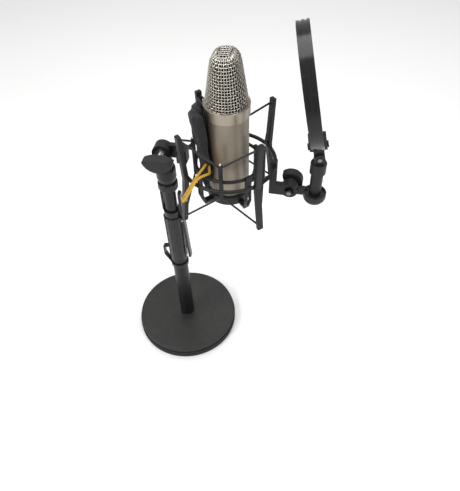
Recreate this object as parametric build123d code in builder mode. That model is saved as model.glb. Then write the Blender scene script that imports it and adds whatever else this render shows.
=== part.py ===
"""Large-diaphragm studio microphone in an elastic cradle, on a round-base desk stand, with its pop filter."""
import os
from math import cos, pi, radians, sin, tan

from build123d import *

os.makedirs("parts", exist_ok=True)

# ---------------------------------------------------------------- driving dimensions, millimetres
# The origin is the centre of the base's underside, +Z is up and +X points from the pole to the microphone.
running_gap = 0.05          # radial clearance of a shaft or screw in its hole
soft_gap = 0.4              # clearance round soft pieces

# Stand
base_radius = 85.0
base_thickness = 18.0
base_edge_radius = 2.5
rim_floor = 3.0             # rubber under the plate
rim_wall = 1.6
rim_height = 12.0
base_bolt_radius = 5.0
base_bolt_head_radius = 9.0
base_bolt_head_height = 6.0
lower_tube_wall = 1.5
lower_tube_length = 237.0
tube_foot_length = 22.0      # solid threaded end of the lower tube
inner_tube_radius = 9.0
inner_tube_wall = 1.5
telescope_gap = 1.5         # between the inner tube and the lower tube's bore
inner_tube_length = 247.0
pole_height = 322.0         # top of the inner tube above the floor, tube fully down

# Clutch on the pole
clutch_bottom = 177.0
clutch_top = 281.0
clutch_wall = 1.3
clutch_neck_wall = 2.9
clutch_neck_length = 12.0
clutch_rib_count = 12
clutch_rib_depth = 0.7
clutch_tab_height = 35.0
clutch_tab_width = 9.0
clutch_lever_width = 8.0
clutch_lever_thickness = 3.6
clutch_lever_pivot_height = 264.0
clutch_pin_radius = 1.0

# Cable clip on the lower tube
clip_height = 158.0
clip_band_height = 7.0
clip_wall = 2.2
clip_loop_width = 9.0
clip_loop_height = 38.0

# Swivel on top of the pole
thread_radius = 7.9
thread_length = 24.0
lock_nut_radius = 13.9
lock_nut_height = 12.0
socket_radius = 13.6
socket_foot_radius = 11.3
socket_height = 28.0
hinge_height = 384.0
hinge_disc_radius = 12.7
hinge_lug_thickness = 8.0
face_gap = 0.1              # between flat faces that turn on each other
bracket_thickness = 7.0
tilt_screw_radius = 3.9
tilt_knob_width = 40.0
tilt_knob_thickness = 14.0
tilt_knob_gap = 8.0         # bare screw between the lug and the knob

# Shock mount, about the microphone's axis
pole_to_ring = 27.5         # from the pole's axis to the middle of the ring's bar
ring_height = 381.0
outer_ring_radius = 59.0
outer_ring_bar = 2.5
arm_count = 4
arm_width = 8.0
arm_thickness = 5.5
arm_waist_reach = 3.5       # from the ring to the middle of an arm, and so on for its ends
arm_top_reach = 7.5
arm_top_height = 446.5
arm_bottom_reach = 11.0
arm_bottom_height = 317.0
elastic_radius = 1.3
elastic_top_height = 442.0
elastic_bottom_height = 321.5
cradle_ring_radius = 41.5
cradle_ring_bar = 2.2
post_radius = 44.5
post_width = 5.0
post_thickness = 4.6
post_top_height = 410.0
post_bottom_height = 354.0
elastic_post_top = 405.0
elastic_post_bottom = 359.0
post_cap_radius = 1.9
leg_width = 8.0
leg_thickness = 3.6
leg_slot_width = 3.2
seat_wall = 2.9             # of the cradle's base round the microphone
cradle_base_bottom = 330.0
cradle_base_top = 343.0
lock_ring_radius = 19.0
lock_ring_height = 9.0

# Microphone
mic_bottom = 338.0
mic_radius = 25.7
mic_wall = 1.2
mic_cap_height = 8.0
mic_body_top = 451.5
head_ring_step = 1.5        # the head ring stands proud of the body
head_ring_height = 15.0
spigot_radius = 14.0
spigot_length = 18.0
connector_bore_radius = 9.2
connector_insert_length = 6.0
connector_pin_radius = 1.2
connector_pin_circle = 4.0
grille_height = 59.5
grille_foot_inset = 1.2     # from the head ring's edge to the foot of the grille
grille_shoulder = 44.5      # height of the wedge's shoulder above the head ring
grille_half_thickness = 17.6
grille_half_width = 23.0
grille_wire = 1.6
inner_mesh_gap = 1.4
inner_mesh_thickness = 0.6
capsule_radius = 15.0
capsule_thickness = 6.0
capsule_height = 490.5
membrane_thickness = 0.3
rail_width = 3.0
rail_gap = 4.5              # between a rail and the body's bore
board_thickness = 1.6

# Pop filter
ring_to_pop_hinge = 20.5    # from the ring to the pop filter's hinge
pop_hinge_height = 345.0
pop_hinge_radius = 10.5
pop_bracket_thickness = 8.0
pop_screw_radius = 2.9
pop_knob_radius = 15.5
pop_knob_thickness = 12.0
pop_knob_turn = -38.0        # the half-moon knob at rest, degrees
pop_arm_length = 32.5
pop_arm_thickness = 6.0
pop_arm_height = 11.0
cup_radius = 14.7
cup_depth = 16.0
rod_radius = 7.7
rod_bottom = 335.0
rod_top = 384.0
collar_radius = 10.0
collar_bottom = 379.0
collar_top = 394.5
rivet_height = 402.0
rivet_radius = 1.6
tongue_width = 13.0
tongue_thickness = 5.0
fork_cheek = 3.2
hoop_turn = 8.7             # turn of the rod in its cup at rest, degrees
hoop_tilt = 12.0            # lean of the hoop towards the microphone at rest, degrees
pivot_rise = 18.0           # from the rivet to the hoop's own pivot
knuckle_radius = 5.6
pivot_screw_radius = 2.4
clip_cheek = 3.4
clip_cheek_radius = 6.5
hoop_rise = 28.0            # from the rivet to the lowest point of the hoop
hoop_radius = 67.0
hoop_wall = 3.4
hoop_depth = 14.0
hoop_groove = 0.7
screen_thickness = 0.5
screen_spacing = 8.0
retainer_width = 2.2

# Dust pouch and its drawstring
string_radius = 1.6
knot_radius = 4.2

# ---------------------------------------------------------------- derived places
base_top = rim_floor + base_thickness
rim_radius = base_radius + rim_wall
lower_tube_radius = inner_tube_radius + telescope_gap + lower_tube_wall
clutch_radius = lower_tube_radius + clutch_wall
clutch_neck_radius = inner_tube_radius + clutch_neck_wall
mic_offset = pole_to_ring + outer_ring_radius
arm_waist_radius = outer_ring_radius + arm_waist_reach
arm_top_radius = outer_ring_radius + arm_top_reach
arm_bottom_radius = outer_ring_radius + arm_bottom_reach
cradle_base_radius = mic_radius + soft_gap + seat_wall
head_ring_radius = mic_radius + head_ring_step
grille_foot_radius = head_ring_radius - grille_foot_inset
board_width = 2 * (mic_radius - mic_wall - rail_gap - rail_width)
pop_hinge_offset = outer_ring_radius + ring_to_pop_hinge
lower_tube_top = base_top + lower_tube_length
thread_top = pole_height + thread_length
lock_nut_bottom = pole_height
socket_bottom = lock_nut_bottom + lock_nut_height
lug_front = -hinge_lug_thickness + 1.0
lug_back = lug_front + hinge_lug_thickness
bracket_front = lug_back + face_gap
bracket_back = bracket_front + bracket_thickness
head_ring_bottom = mic_body_top
head_ring_top = head_ring_bottom + head_ring_height
pop_x = mic_offset + pop_hinge_offset
rod_x = pop_x + pop_arm_length
arm_angles = [45 + 360 / arm_count * step for step in range(arm_count)]
post_angles = [360 / arm_count * step for step in range(arm_count)]

mic_plane = Plane.XY.move(Location((mic_offset, 0, 0)))


def mic_level(height):
    """Horizontal plane through the microphone's axis at a height above the floor."""
    return mic_plane.offset(height)


def radial_plane(angle):
    """Upright plane through the microphone's axis: its x runs outwards and its y upwards."""
    outward = (cos(radians(angle)), sin(radians(angle)), 0)
    normal = (sin(radians(angle)), -cos(radians(angle)), 0)
    return Plane(origin=(mic_offset, 0, 0), x_dir=outward, z_dir=normal)


def around_mic(radius, angle, height):
    """Point at a radius and angle about the microphone's axis."""
    return (mic_offset + radius * cos(radians(angle)), radius * sin(radians(angle)), height)


def side_plane(y, x=0.0, z=0.0):
    """Upright plane facing -Y at a given y: its x is +X and its y is +Z."""
    return Plane(origin=(x, y, z), x_dir=(1, 0, 0), z_dir=(0, -1, 0))


def save(piece, label):
    """Name a finished piece and write it to its own file."""
    piece.label = label
    export_step(piece, f"parts/{label}.step")


def hex_outline(radius):
    """Six-sided outline with the given corner radius."""
    return RegularPolygon(radius, 6)


# ---------------------------------------------------------------- stand base
with BuildPart() as base_plate:
    with BuildSketch(Plane.XY.offset(rim_floor)):
        Circle(base_radius)
    extrude(amount=base_thickness)
    fillet(base_plate.edges().group_by(Axis.Z)[-1], base_edge_radius)
    with BuildSketch(Plane.XY.offset(rim_floor)):
        Circle(base_bolt_radius + running_gap)
    extrude(amount=base_thickness, mode=Mode.SUBTRACT)
    with BuildSketch(Plane.XY.offset(rim_floor)):
        Circle(base_bolt_head_radius + running_gap)
    extrude(amount=base_bolt_head_height, mode=Mode.SUBTRACT)
save(base_plate.part, "base_plate")

with BuildPart() as base_rubber_rim:
    with BuildSketch():
        Circle(rim_radius)
    extrude(amount=rim_floor)
    with BuildSketch(Plane.XY.offset(rim_floor)):
        Circle(rim_radius)
        Circle(base_radius, mode=Mode.SUBTRACT)
    extrude(amount=rim_height - rim_floor)
    fillet(base_rubber_rim.edges().group_by(Axis.Z)[0], 1.2)
save(base_rubber_rim.part, "base_rubber_rim")

with BuildPart() as base_bolt:
    with BuildSketch(Plane.XY.offset(rim_floor)):
        Circle(base_bolt_head_radius)
    extrude(amount=base_bolt_head_height)
    with BuildSketch(Plane.XY.offset(rim_floor)):
        hex_outline(base_bolt_head_radius / 2)
    extrude(amount=base_bolt_head_height / 2, mode=Mode.SUBTRACT)
    with BuildSketch(Plane.XY.offset(rim_floor + base_bolt_head_height)):
        Circle(base_bolt_radius)
    extrude(amount=base_top + tube_foot_length * 0.7 - rim_floor - base_bolt_head_height)
save(base_bolt.part, "base_bolt")

with BuildPart() as lower_tube:
    with BuildSketch(Plane.XY.offset(base_top)):
        Circle(lower_tube_radius)
        Circle(base_bolt_radius + running_gap, mode=Mode.SUBTRACT)
    extrude(amount=tube_foot_length)
    with BuildSketch(Plane.XY.offset(base_top + tube_foot_length)):
        Circle(lower_tube_radius)
        Circle(lower_tube_radius - lower_tube_wall, mode=Mode.SUBTRACT)
    extrude(amount=lower_tube_length - tube_foot_length)
save(lower_tube.part, "lower_tube")

# ---------------------------------------------------------------- clutch
tab_inner_radius = inner_tube_radius + 1.0
tab_top = clutch_top + clutch_tab_height
lever_inner = clutch_radius + 0.6
slot_half = clutch_lever_width / 2 + 0.4
with BuildPart() as clutch_body:
    with BuildSketch(Plane.XY.offset(clutch_bottom)):
        Circle(clutch_radius)
        with PolarLocations(clutch_radius, clutch_rib_count, start_angle=15):
            Circle(clutch_rib_depth)
    extrude(amount=clutch_top - clutch_neck_length - clutch_bottom)
    with BuildSketch(Plane.XY.offset(clutch_top - clutch_neck_length)):
        Circle(clutch_neck_radius)
    extrude(amount=clutch_neck_length)
    # The fixed tab stands on the -X side of the neck.
    with BuildSketch(Plane.XY.offset(clutch_top)):
        with Locations((-(tab_inner_radius + 1.0), 0)):
            Rectangle(2.0, clutch_tab_width)
    extrude(amount=clutch_tab_height)
    with BuildSketch(Plane.XY.offset(clutch_bottom)):
        Circle(lower_tube_radius + running_gap)
    extrude(amount=lower_tube_top - clutch_bottom, mode=Mode.SUBTRACT)
    with BuildSketch(Plane.XY.offset(clutch_bottom)):
        Circle(inner_tube_radius + running_gap)
    extrude(amount=clutch_top - clutch_bottom, mode=Mode.SUBTRACT)
    # Two ears on the +X side carry the lever's pin.
    with BuildSketch(side_plane(slot_half + 2.0)):
        with Locations((clutch_radius + 1.0, clutch_lever_pivot_height)):
            Rectangle(7.0, 9.0)
    extrude(amount=2.0)
    with BuildSketch(side_plane(-slot_half)):
        with Locations((clutch_radius + 1.0, clutch_lever_pivot_height)):
            Rectangle(7.0, 9.0)
    extrude(amount=2.0)
    with BuildSketch(side_plane(slot_half + 3.0)):
        with Locations((lever_inner + clutch_lever_thickness / 2, clutch_lever_pivot_height)):
            Circle(clutch_pin_radius)
    extrude(amount=2 * slot_half + 6.0, mode=Mode.SUBTRACT)
save(clutch_body.part, "clutch_body")

lever_pin_x = lever_inner + clutch_lever_thickness / 2
with BuildPart() as clutch_lever:
    # Seen from the side: a flared lower end to squeeze, the pin's boss, and a tab beside the inner tube.
    with BuildSketch(side_plane(clutch_lever_width / 2)):
        Polygon(
            (lever_inner + 3.6, clutch_bottom + 2.0),
            (lever_inner + 3.6 + clutch_lever_thickness, clutch_bottom + 2.0),
            (lever_inner + clutch_lever_thickness, clutch_lever_pivot_height),
            (tab_inner_radius + 3.0 + clutch_lever_thickness, tab_top - 3.0),
            (tab_inner_radius + 3.0, tab_top),
            (clutch_neck_radius + 0.6, clutch_top + 2.0),
            (lever_inner, clutch_top - clutch_neck_length + 1.0),
            (lever_inner, clutch_lever_pivot_height - 4.0),
            align=None,
        )
    extrude(amount=clutch_lever_width)
    with BuildSketch(side_plane(clutch_lever_width / 2)):
        with Locations((lever_pin_x, clutch_lever_pivot_height)):
            Circle(clutch_pin_radius + running_gap)
    extrude(amount=clutch_lever_width, mode=Mode.SUBTRACT)
save(clutch_lever.part, "clutch_lever")

pin_half_length = slot_half + 2.6
with BuildPart() as lever_pin:
    with BuildSketch(side_plane(pin_half_length)):
        with Locations((lever_pin_x, clutch_lever_pivot_height)):
            Circle(clutch_pin_radius)
    extrude(amount=2 * pin_half_length)
save(lever_pin.part, "lever_pin")

with BuildPart() as cable_clip:
    with BuildSketch(Plane.XY.offset(clip_height)):
        Circle(lower_tube_radius + clip_wall)
        Circle(lower_tube_radius, mode=Mode.SUBTRACT)
    extrude(amount=clip_band_height)
    # The loop for the cable stands on the -X side and leans back over the band.
    loop_outer = lower_tube_radius + clip_wall + clip_loop_width
    with BuildSketch(side_plane(clip_band_height / 2)):
        Polygon(
            (-lower_tube_radius - clip_wall / 2, clip_height),
            (-lower_tube_radius - clip_wall / 2, clip_height + clip_wall * 1.5),
            (-loop_outer + clip_wall, clip_height + clip_loop_height * 0.6),
            (-loop_outer + clip_wall, clip_height + clip_loop_height - clip_wall),
            (-lower_tube_radius - clip_wall, clip_height + clip_loop_height),
            (-lower_tube_radius - clip_wall - 1.0, clip_height + clip_loop_height + clip_wall),
            (-loop_outer, clip_height + clip_loop_height),
            (-loop_outer, clip_height + clip_loop_height * 0.5),
            align=None,
        )
    extrude(amount=clip_band_height)
    with BuildSketch(Plane.XY.offset(clip_height - 1.0)):
        Circle(lower_tube_radius)
    extrude(amount=clip_loop_height + 10.0, mode=Mode.SUBTRACT)
save(cable_clip.part, "cable_clip")

# ---------------------------------------------------------------- pole head
with BuildPart() as inner_tube:
    with BuildSketch(Plane.XY.offset(pole_height - inner_tube_length)):
        Circle(inner_tube_radius)
        Circle(inner_tube_radius - inner_tube_wall, mode=Mode.SUBTRACT)
    extrude(amount=inner_tube_length)
save(inner_tube.part, "inner_tube")

with BuildPart() as thread_stud:
    with BuildSketch(Plane.XY.offset(pole_height - thread_length)):
        Circle(inner_tube_radius - inner_tube_wall)
    extrude(amount=thread_length)
    with BuildSketch(Plane.XY.offset(pole_height)):
        Circle(thread_radius)
    extrude(amount=thread_length)
    chamfer(thread_stud.edges().group_by(Axis.Z)[-1], 0.8)
save(thread_stud.part, "thread_stud")

with BuildPart() as lock_nut:
    with BuildSketch(Plane.XY.offset(lock_nut_bottom + face_gap)):
        Circle(lock_nut_radius)
    extrude(amount=lock_nut_height - 2 * face_gap)
    fillet(lock_nut.edges(), 2.0)
    with BuildSketch(Plane.XY.offset(lock_nut_bottom)):
        Circle(thread_radius + running_gap)
        with PolarLocations(lock_nut_radius + 0.6, 24):
            Circle(1.1)
    extrude(amount=lock_nut_height, mode=Mode.SUBTRACT)
save(lock_nut.part, "lock_nut")

with BuildPart() as swivel_socket:
    with BuildSketch(side_plane(0)):
        with BuildLine():
            Polyline(
                (0, socket_bottom),
                (socket_foot_radius, socket_bottom),
                (socket_radius, socket_bottom + 9.0),
                (socket_radius, socket_bottom + socket_height - 6.0),
            )
            TangentArc(
                (socket_radius, socket_bottom + socket_height - 6.0),
                (socket_radius - 6.0, socket_bottom + socket_height),
                tangent=(0, 1),
            )
            Polyline(
                (socket_radius - 6.0, socket_bottom + socket_height),
                (0, socket_bottom + socket_height),
                (0, socket_bottom),
            )
        make_face()
    revolve(axis=Axis.Z)
    # The lug's neck rises from the barrel to the hinge disc.
    with BuildSketch(side_plane(lug_back)):
        with Locations((0, hinge_height)):
            Circle(hinge_disc_radius)
        with Locations((0, (socket_bottom + socket_height / 2 + hinge_height) / 2)):
            Rectangle(2 * hinge_disc_radius - 3.0, hinge_height - socket_bottom - socket_height / 2)
    extrude(amount=hinge_lug_thickness)
    with BuildSketch(Plane.XY.offset(socket_bottom)):
        Circle(thread_radius + running_gap)
    extrude(amount=thread_top - socket_bottom + 0.5, mode=Mode.SUBTRACT)
    with BuildSketch(side_plane(lug_back)):
        with Locations((0, hinge_height)):
            Circle(tilt_screw_radius + running_gap)
    extrude(amount=hinge_lug_thickness, mode=Mode.SUBTRACT)
    # A raised ring on the lug's outer face, round the washer.
    with BuildSketch(side_plane(lug_front)):
        with Locations((0, hinge_height)):
            Circle(hinge_disc_radius - 0.8)
            Circle(hinge_disc_radius - 2.6, mode=Mode.SUBTRACT)
    extrude(amount=0.8)
    # The bracket's disc turns just behind the lug, above the barrel.
    with BuildSketch(side_plane(bracket_back + face_gap)):
        with Locations((0, hinge_height)):
            Circle(hinge_disc_radius + 1.0)
    extrude(amount=bracket_back - lug_back + face_gap, mode=Mode.SUBTRACT)
save(swivel_socket.part, "swivel_socket")

washer_thickness = 1.6
with BuildPart() as tilt_washer:
    with BuildSketch(side_plane(lug_front)):
        with Locations((0, hinge_height)):
            Circle(tilt_screw_radius * 2)
            Circle(tilt_screw_radius + running_gap, mode=Mode.SUBTRACT)
    extrude(amount=washer_thickness)
save(tilt_washer.part, "tilt_washer")

tilt_nut_thickness = 5.0
knob_back = lug_front - tilt_knob_gap
knob_front = knob_back - tilt_knob_thickness
with BuildPart() as tilt_screw:
    with BuildSketch(side_plane(bracket_back + tilt_nut_thickness + 1.0)):
        with Locations((0, hinge_height)):
            Circle(tilt_screw_radius)
    extrude(amount=bracket_back + tilt_nut_thickness + 1.0 - knob_front - 3.0)
    chamfer(tilt_screw.edges().group_by(Axis.Y)[-1], 0.6)
save(tilt_screw.part, "tilt_screw")

with BuildPart() as tilt_knob:
    with BuildSketch(side_plane(knob_back)):
        with BuildLine():
            half = tilt_knob_width / 2
            ThreePointArc((-half, hinge_height + 1.0), (0, hinge_height - half * 0.72), (half, hinge_height + 1.0))
            ThreePointArc((half, hinge_height + 1.0), (0, hinge_height + half * 0.34), (-half, hinge_height + 1.0))
        make_face()
    extrude(amount=tilt_knob_thickness)
    fillet(tilt_knob.edges().filter_by(GeomType.CIRCLE), 1.2)
    with BuildSketch(side_plane(knob_back)):
        with Locations((0, hinge_height)):
            Circle(tilt_screw_radius)
    extrude(amount=tilt_knob_thickness - 3.0, mode=Mode.SUBTRACT)
save(tilt_knob.part, "tilt_knob")

with BuildPart() as tilt_nut:
    with BuildSketch(side_plane(bracket_back + tilt_nut_thickness)):
        with Locations((0, hinge_height)):
            hex_outline(tilt_screw_radius * 2)
            Circle(tilt_screw_radius + running_gap, mode=Mode.SUBTRACT)
    extrude(amount=tilt_nut_thickness)
save(tilt_nut.part, "tilt_nut")

# ---------------------------------------------------------------- shock mount frame
ring_left = mic_offset - outer_ring_radius
with BuildPart() as stand_bracket:
    with BuildSketch(side_plane(bracket_back)):
        with Locations((0, hinge_height)):
            Circle(hinge_disc_radius)
        with Locations((ring_left / 2, hinge_height)):
            Rectangle(ring_left, 19.0)
    extrude(amount=bracket_thickness)
    with BuildSketch(side_plane(bracket_back)):
        with Locations((ring_left - 1.0, hinge_height - 1.0)):
            Rectangle(13.0, 19.0)
    extrude(amount=2 * bracket_back)
    fillet(stand_bracket.edges().filter_by(Axis.Z).group_by(Axis.X)[-1], 2.0)
    with BuildSketch(side_plane(bracket_back)):
        with Locations((0, hinge_height)):
            Circle(tilt_screw_radius + running_gap)
    extrude(amount=bracket_thickness, mode=Mode.SUBTRACT)
    with Locations((mic_offset, 0, ring_height)):
        Torus(outer_ring_radius, outer_ring_bar, mode=Mode.SUBTRACT)
save(stand_bracket.part, "stand_bracket")

with BuildPart() as outer_ring:
    with Locations((mic_offset, 0, ring_height)):
        Torus(outer_ring_radius, outer_ring_bar)
save(outer_ring.part, "outer_ring")


def zigzag(tip_radius, tip_height, hook_height):
    """Corners of an elastic loop that runs from an arm's tip to a post, all the way round."""
    corners = []
    for arm_angle, post_angle in zip(arm_angles, post_angles[1:] + post_angles[:1]):
        corners.append(Vector(around_mic(tip_radius, arm_angle, tip_height)))
        corners.append(Vector(around_mic(post_radius, post_angle, hook_height)))
    return corners


def rope_loop(corners, radius):
    """Closed loop of round cord: straight runs with a ball at each corner."""
    with BuildPart() as rope:
        for start, end in zip(corners, corners[1:] + corners[:1]):
            with BuildSketch(Plane(origin=start, z_dir=end - start)):
                Circle(radius)
            extrude(amount=(end - start).length)
        with Locations(*corners):
            Sphere(radius)
    return rope.part


top_corners = zigzag(arm_top_radius, elastic_top_height, elastic_post_top)
bottom_corners = zigzag(arm_bottom_radius, elastic_bottom_height, elastic_post_bottom)
top_elastic = rope_loop(top_corners, elastic_radius)
bottom_elastic = rope_loop(bottom_corners, elastic_radius)
top_channel = rope_loop(top_corners, elastic_radius + soft_gap)
bottom_channel = rope_loop(bottom_corners, elastic_radius + soft_gap)
save(top_elastic, "top_elastic")
save(bottom_elastic, "bottom_elastic")

arm_names = ["rear_right_arm", "rear_left_arm", "front_left_arm", "front_right_arm"]
for arm_name, arm_angle in zip(arm_names, arm_angles):
    with BuildPart() as frame_arm:
        with BuildSketch(radial_plane(arm_angle)):
            Polygon(
                (arm_top_radius - arm_thickness / 2, arm_top_height),
                (arm_top_radius + arm_thickness / 2, arm_top_height),
                (arm_waist_radius + arm_thickness * 0.6, ring_height),
                (arm_bottom_radius + arm_thickness / 2, arm_bottom_height),
                (arm_bottom_radius - arm_thickness / 2, arm_bottom_height),
                (arm_waist_radius - arm_thickness * 0.6, ring_height),
                align=None,
            )
        extrude(amount=arm_width / 2, both=True)
        fillet(frame_arm.edges(), 1.0)
        with Locations((mic_offset, 0, ring_height)):
            Torus(outer_ring_radius, outer_ring_bar, mode=Mode.SUBTRACT)
        add(top_channel, mode=Mode.SUBTRACT)
        add(bottom_channel, mode=Mode.SUBTRACT)
    save(frame_arm.part, arm_name)

# ---------------------------------------------------------------- inner cradle
with BuildPart() as cradle_ring:
    with Locations((mic_offset, 0, ring_height)):
        Torus(cradle_ring_radius, cradle_ring_bar)
save(cradle_ring.part, "cradle_ring")

with BuildPart() as cradle_posts:
    with BuildSketch(mic_level(post_bottom_height)):
        with PolarLocations(post_radius, len(post_angles)):
            RectangleRounded(post_thickness, post_width, 1.0)
    extrude(amount=post_top_height - post_bottom_height)
    with Locations((mic_offset, 0, ring_height)):
        Torus(cradle_ring_radius, cradle_ring_bar, mode=Mode.SUBTRACT)
    add(top_channel, mode=Mode.SUBTRACT)
    add(bottom_channel, mode=Mode.SUBTRACT)
save(cradle_posts.part, "cradle_posts")

with BuildPart() as post_caps:
    with BuildSketch(mic_level(post_top_height)):
        with PolarLocations(post_radius, len(post_angles)):
            Circle(post_cap_radius)
    extrude(amount=1.6)
    fillet(post_caps.edges().group_by(Axis.Z)[-1], 0.9)
save(post_caps.part, "post_caps")

leg_outer = cradle_ring_radius + leg_thickness
with BuildPart() as cradle_legs:
    for leg_angle in arm_angles:
        with BuildSketch(radial_plane(leg_angle)):
            Polygon(
                (leg_outer - leg_thickness, ring_height + cradle_ring_bar + 1.5),
                (leg_outer, ring_height + cradle_ring_bar + 1.5),
                (leg_outer, cradle_base_bottom + 15.0),
                (leg_outer - 5.0, cradle_base_bottom),
                (cradle_base_radius - 1.0, cradle_base_bottom),
                (cradle_base_radius - 1.0, cradle_base_bottom + leg_thickness),
                (leg_outer - 6.5, cradle_base_bottom + leg_thickness),
                (leg_outer - leg_thickness, cradle_base_bottom + 16.0),
                align=None,
            )
        extrude(amount=leg_width / 2, both=True)
    with BuildSketch(mic_level(cradle_base_bottom + leg_thickness + 2.0)):
        with PolarLocations(cradle_ring_radius, len(arm_angles), start_angle=arm_angles[0]):
            Rectangle(20.0, leg_slot_width)
    extrude(amount=ring_height - cradle_base_bottom - 14.0, mode=Mode.SUBTRACT)
    with BuildSketch(mic_level(cradle_base_bottom)):
        Circle(cradle_base_radius)
    extrude(amount=cradle_base_top - cradle_base_bottom, mode=Mode.SUBTRACT)
    with Locations((mic_offset, 0, ring_height)):
        Torus(cradle_ring_radius, cradle_ring_bar, mode=Mode.SUBTRACT)
save(cradle_legs.part, "cradle_legs")

with BuildPart() as cradle_base:
    with BuildSketch(mic_level(cradle_base_bottom)):
        Circle(cradle_base_radius)
    extrude(amount=cradle_base_top - cradle_base_bottom)
    fillet(cradle_base.edges(), 1.5)
    with BuildSketch(mic_level(mic_bottom)):
        Circle(mic_radius + soft_gap)
    extrude(amount=cradle_base_top - mic_bottom, mode=Mode.SUBTRACT)
    with BuildSketch(mic_level(cradle_base_bottom)):
        Circle(spigot_radius + soft_gap)
    extrude(amount=cradle_base_top - cradle_base_bottom, mode=Mode.SUBTRACT)
save(cradle_base.part, "cradle_base")

with BuildPart() as lock_ring:
    with BuildSketch(mic_level(cradle_base_bottom - face_gap - lock_ring_height)):
        Circle(lock_ring_radius)
    extrude(amount=lock_ring_height)
    fillet(lock_ring.edges(), 1.5)
    with BuildSketch(mic_level(cradle_base_bottom - face_gap - lock_ring_height)):
        Circle(spigot_radius + running_gap)
        with PolarLocations(lock_ring_radius + 0.6, 28):
            Circle(1.2)
    extrude(amount=lock_ring_height, mode=Mode.SUBTRACT)
save(lock_ring.part, "lock_ring")

# ---------------------------------------------------------------- microphone body
with BuildPart() as mic_base_cap:
    with BuildSketch(mic_level(mic_bottom)):
        Circle(mic_radius)
    extrude(amount=mic_cap_height)
    fillet(mic_base_cap.edges().group_by(Axis.Z)[0], 2.0)
    with BuildSketch(mic_level(mic_bottom - spigot_length)):
        Circle(spigot_radius)
    extrude(amount=spigot_length)
    with BuildSketch(mic_level(mic_bottom - spigot_length)):
        Circle(connector_bore_radius)
    extrude(amount=spigot_length + 2.0, mode=Mode.SUBTRACT)
save(mic_base_cap.part, "mic_base_cap")

with BuildPart() as mic_body_tube:
    with BuildSketch(mic_level(mic_bottom + mic_cap_height)):
        Circle(mic_radius)
        Circle(mic_radius - mic_wall, mode=Mode.SUBTRACT)
    extrude(amount=mic_body_top - mic_bottom - mic_cap_height)
save(mic_body_tube.part, "mic_body_tube")

head_ring_wall = 3.4
head_bead = 0.4
with BuildPart() as head_ring:
    with BuildSketch(mic_level(head_ring_bottom)):
        Circle(head_ring_radius)
        Circle(head_ring_radius - head_ring_wall, mode=Mode.SUBTRACT)
    extrude(amount=head_ring_height - 1.6)
    chamfer(head_ring.edges().group_by(Axis.Z)[0].sort_by(SortBy.LENGTH)[-1], 0.6)
    with BuildSketch(mic_level(head_ring_top - 1.6)):
        Circle(head_ring_radius + head_bead)
        Circle(head_ring_radius - head_ring_wall, mode=Mode.SUBTRACT)
    extrude(amount=1.6)
    fillet(head_ring.edges().group_by(Axis.Z)[-1].sort_by(SortBy.LENGTH)[-1], 0.7)
save(head_ring.part, "head_ring")

head_plate_thickness = 3.0
with BuildPart() as head_plate:
    with BuildSketch(mic_level(head_ring_top - head_plate_thickness)):
        Circle(head_ring_radius - head_ring_wall)
        with Locations((0, 8.0)):
            Circle(2.0, mode=Mode.SUBTRACT)
    extrude(amount=head_plate_thickness)
save(head_plate.part, "head_plate")


def grille_form(inset):
    """Solid wedge of the head, drawn in by an inset on every side but its foot."""
    half_x = grille_half_thickness - inset
    half_y = grille_half_width - inset
    sections = [
        (grille_shoulder, 0.0),
        (grille_shoulder + 8.5, 0.10),
        (grille_height - 2.0 - inset / 2, 0.30),
        (grille_height - inset, 0.56),
    ]
    with BuildPart() as form:
        with BuildSketch(mic_level(head_ring_top)):
            Circle(grille_foot_radius - inset)
        for height, share in sections:
            draw_in = share * half_x
            with BuildSketch(mic_level(head_ring_top + height)):
                RectangleRounded(2 * (half_x - draw_in), 2 * (half_y - draw_in), 0.97 * (half_x - draw_in))
        loft(ruled=True)
    return form.part


with BuildPart() as outer_grille:
    add(grille_form(0.0))
    add(grille_form(grille_wire), mode=Mode.SUBTRACT)
save(outer_grille.part, "outer_grille")

with BuildPart() as inner_mesh:
    add(grille_form(grille_wire + inner_mesh_gap))
    add(grille_form(grille_wire + inner_mesh_gap + inner_mesh_thickness), mode=Mode.SUBTRACT)
save(inner_mesh.part, "inner_mesh")


def capsule_plane(x):
    """Upright plane facing +X at a distance in front of the microphone's axis, centred on the capsule."""
    return Plane(origin=(mic_offset + x, 0, capsule_height), x_dir=(0, 1, 0), z_dir=(1, 0, 0))


capsule_bore = capsule_radius - 2.4
recess_depth = capsule_thickness / 2 - 1.6
with BuildPart() as capsule_ring:
    with BuildSketch(capsule_plane(-capsule_thickness / 2)):
        Circle(capsule_radius)
    extrude(amount=capsule_thickness)
    for face_x in (-capsule_thickness / 2, capsule_thickness / 2 - recess_depth):
        with BuildSketch(capsule_plane(face_x)):
            Circle(capsule_bore)
        extrude(amount=recess_depth, mode=Mode.SUBTRACT)
    with BuildSketch(capsule_plane(-capsule_thickness / 2)):
        with PolarLocations(capsule_bore + 1.2, 12):
            Circle(0.5)
    extrude(amount=capsule_thickness, mode=Mode.SUBTRACT)
save(capsule_ring.part, "capsule_ring")

with BuildPart() as capsule_membranes:
    for face_x in (-1.6 - membrane_thickness, 1.6):
        with BuildSketch(capsule_plane(face_x)):
            Circle(capsule_bore)
        extrude(amount=membrane_thickness)
save(capsule_membranes.part, "capsule_membranes")

saddle_width = 18.0
with BuildPart() as capsule_saddle:
    with BuildSketch(mic_level(head_ring_top)):
        Rectangle(9.0, saddle_width)
    extrude(amount=capsule_height - head_ring_top - capsule_radius * 0.75)
    with BuildSketch(capsule_plane(-10.0)):
        Circle(capsule_radius)
    extrude(amount=20.0, mode=Mode.SUBTRACT)
save(capsule_saddle.part, "capsule_saddle")

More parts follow.
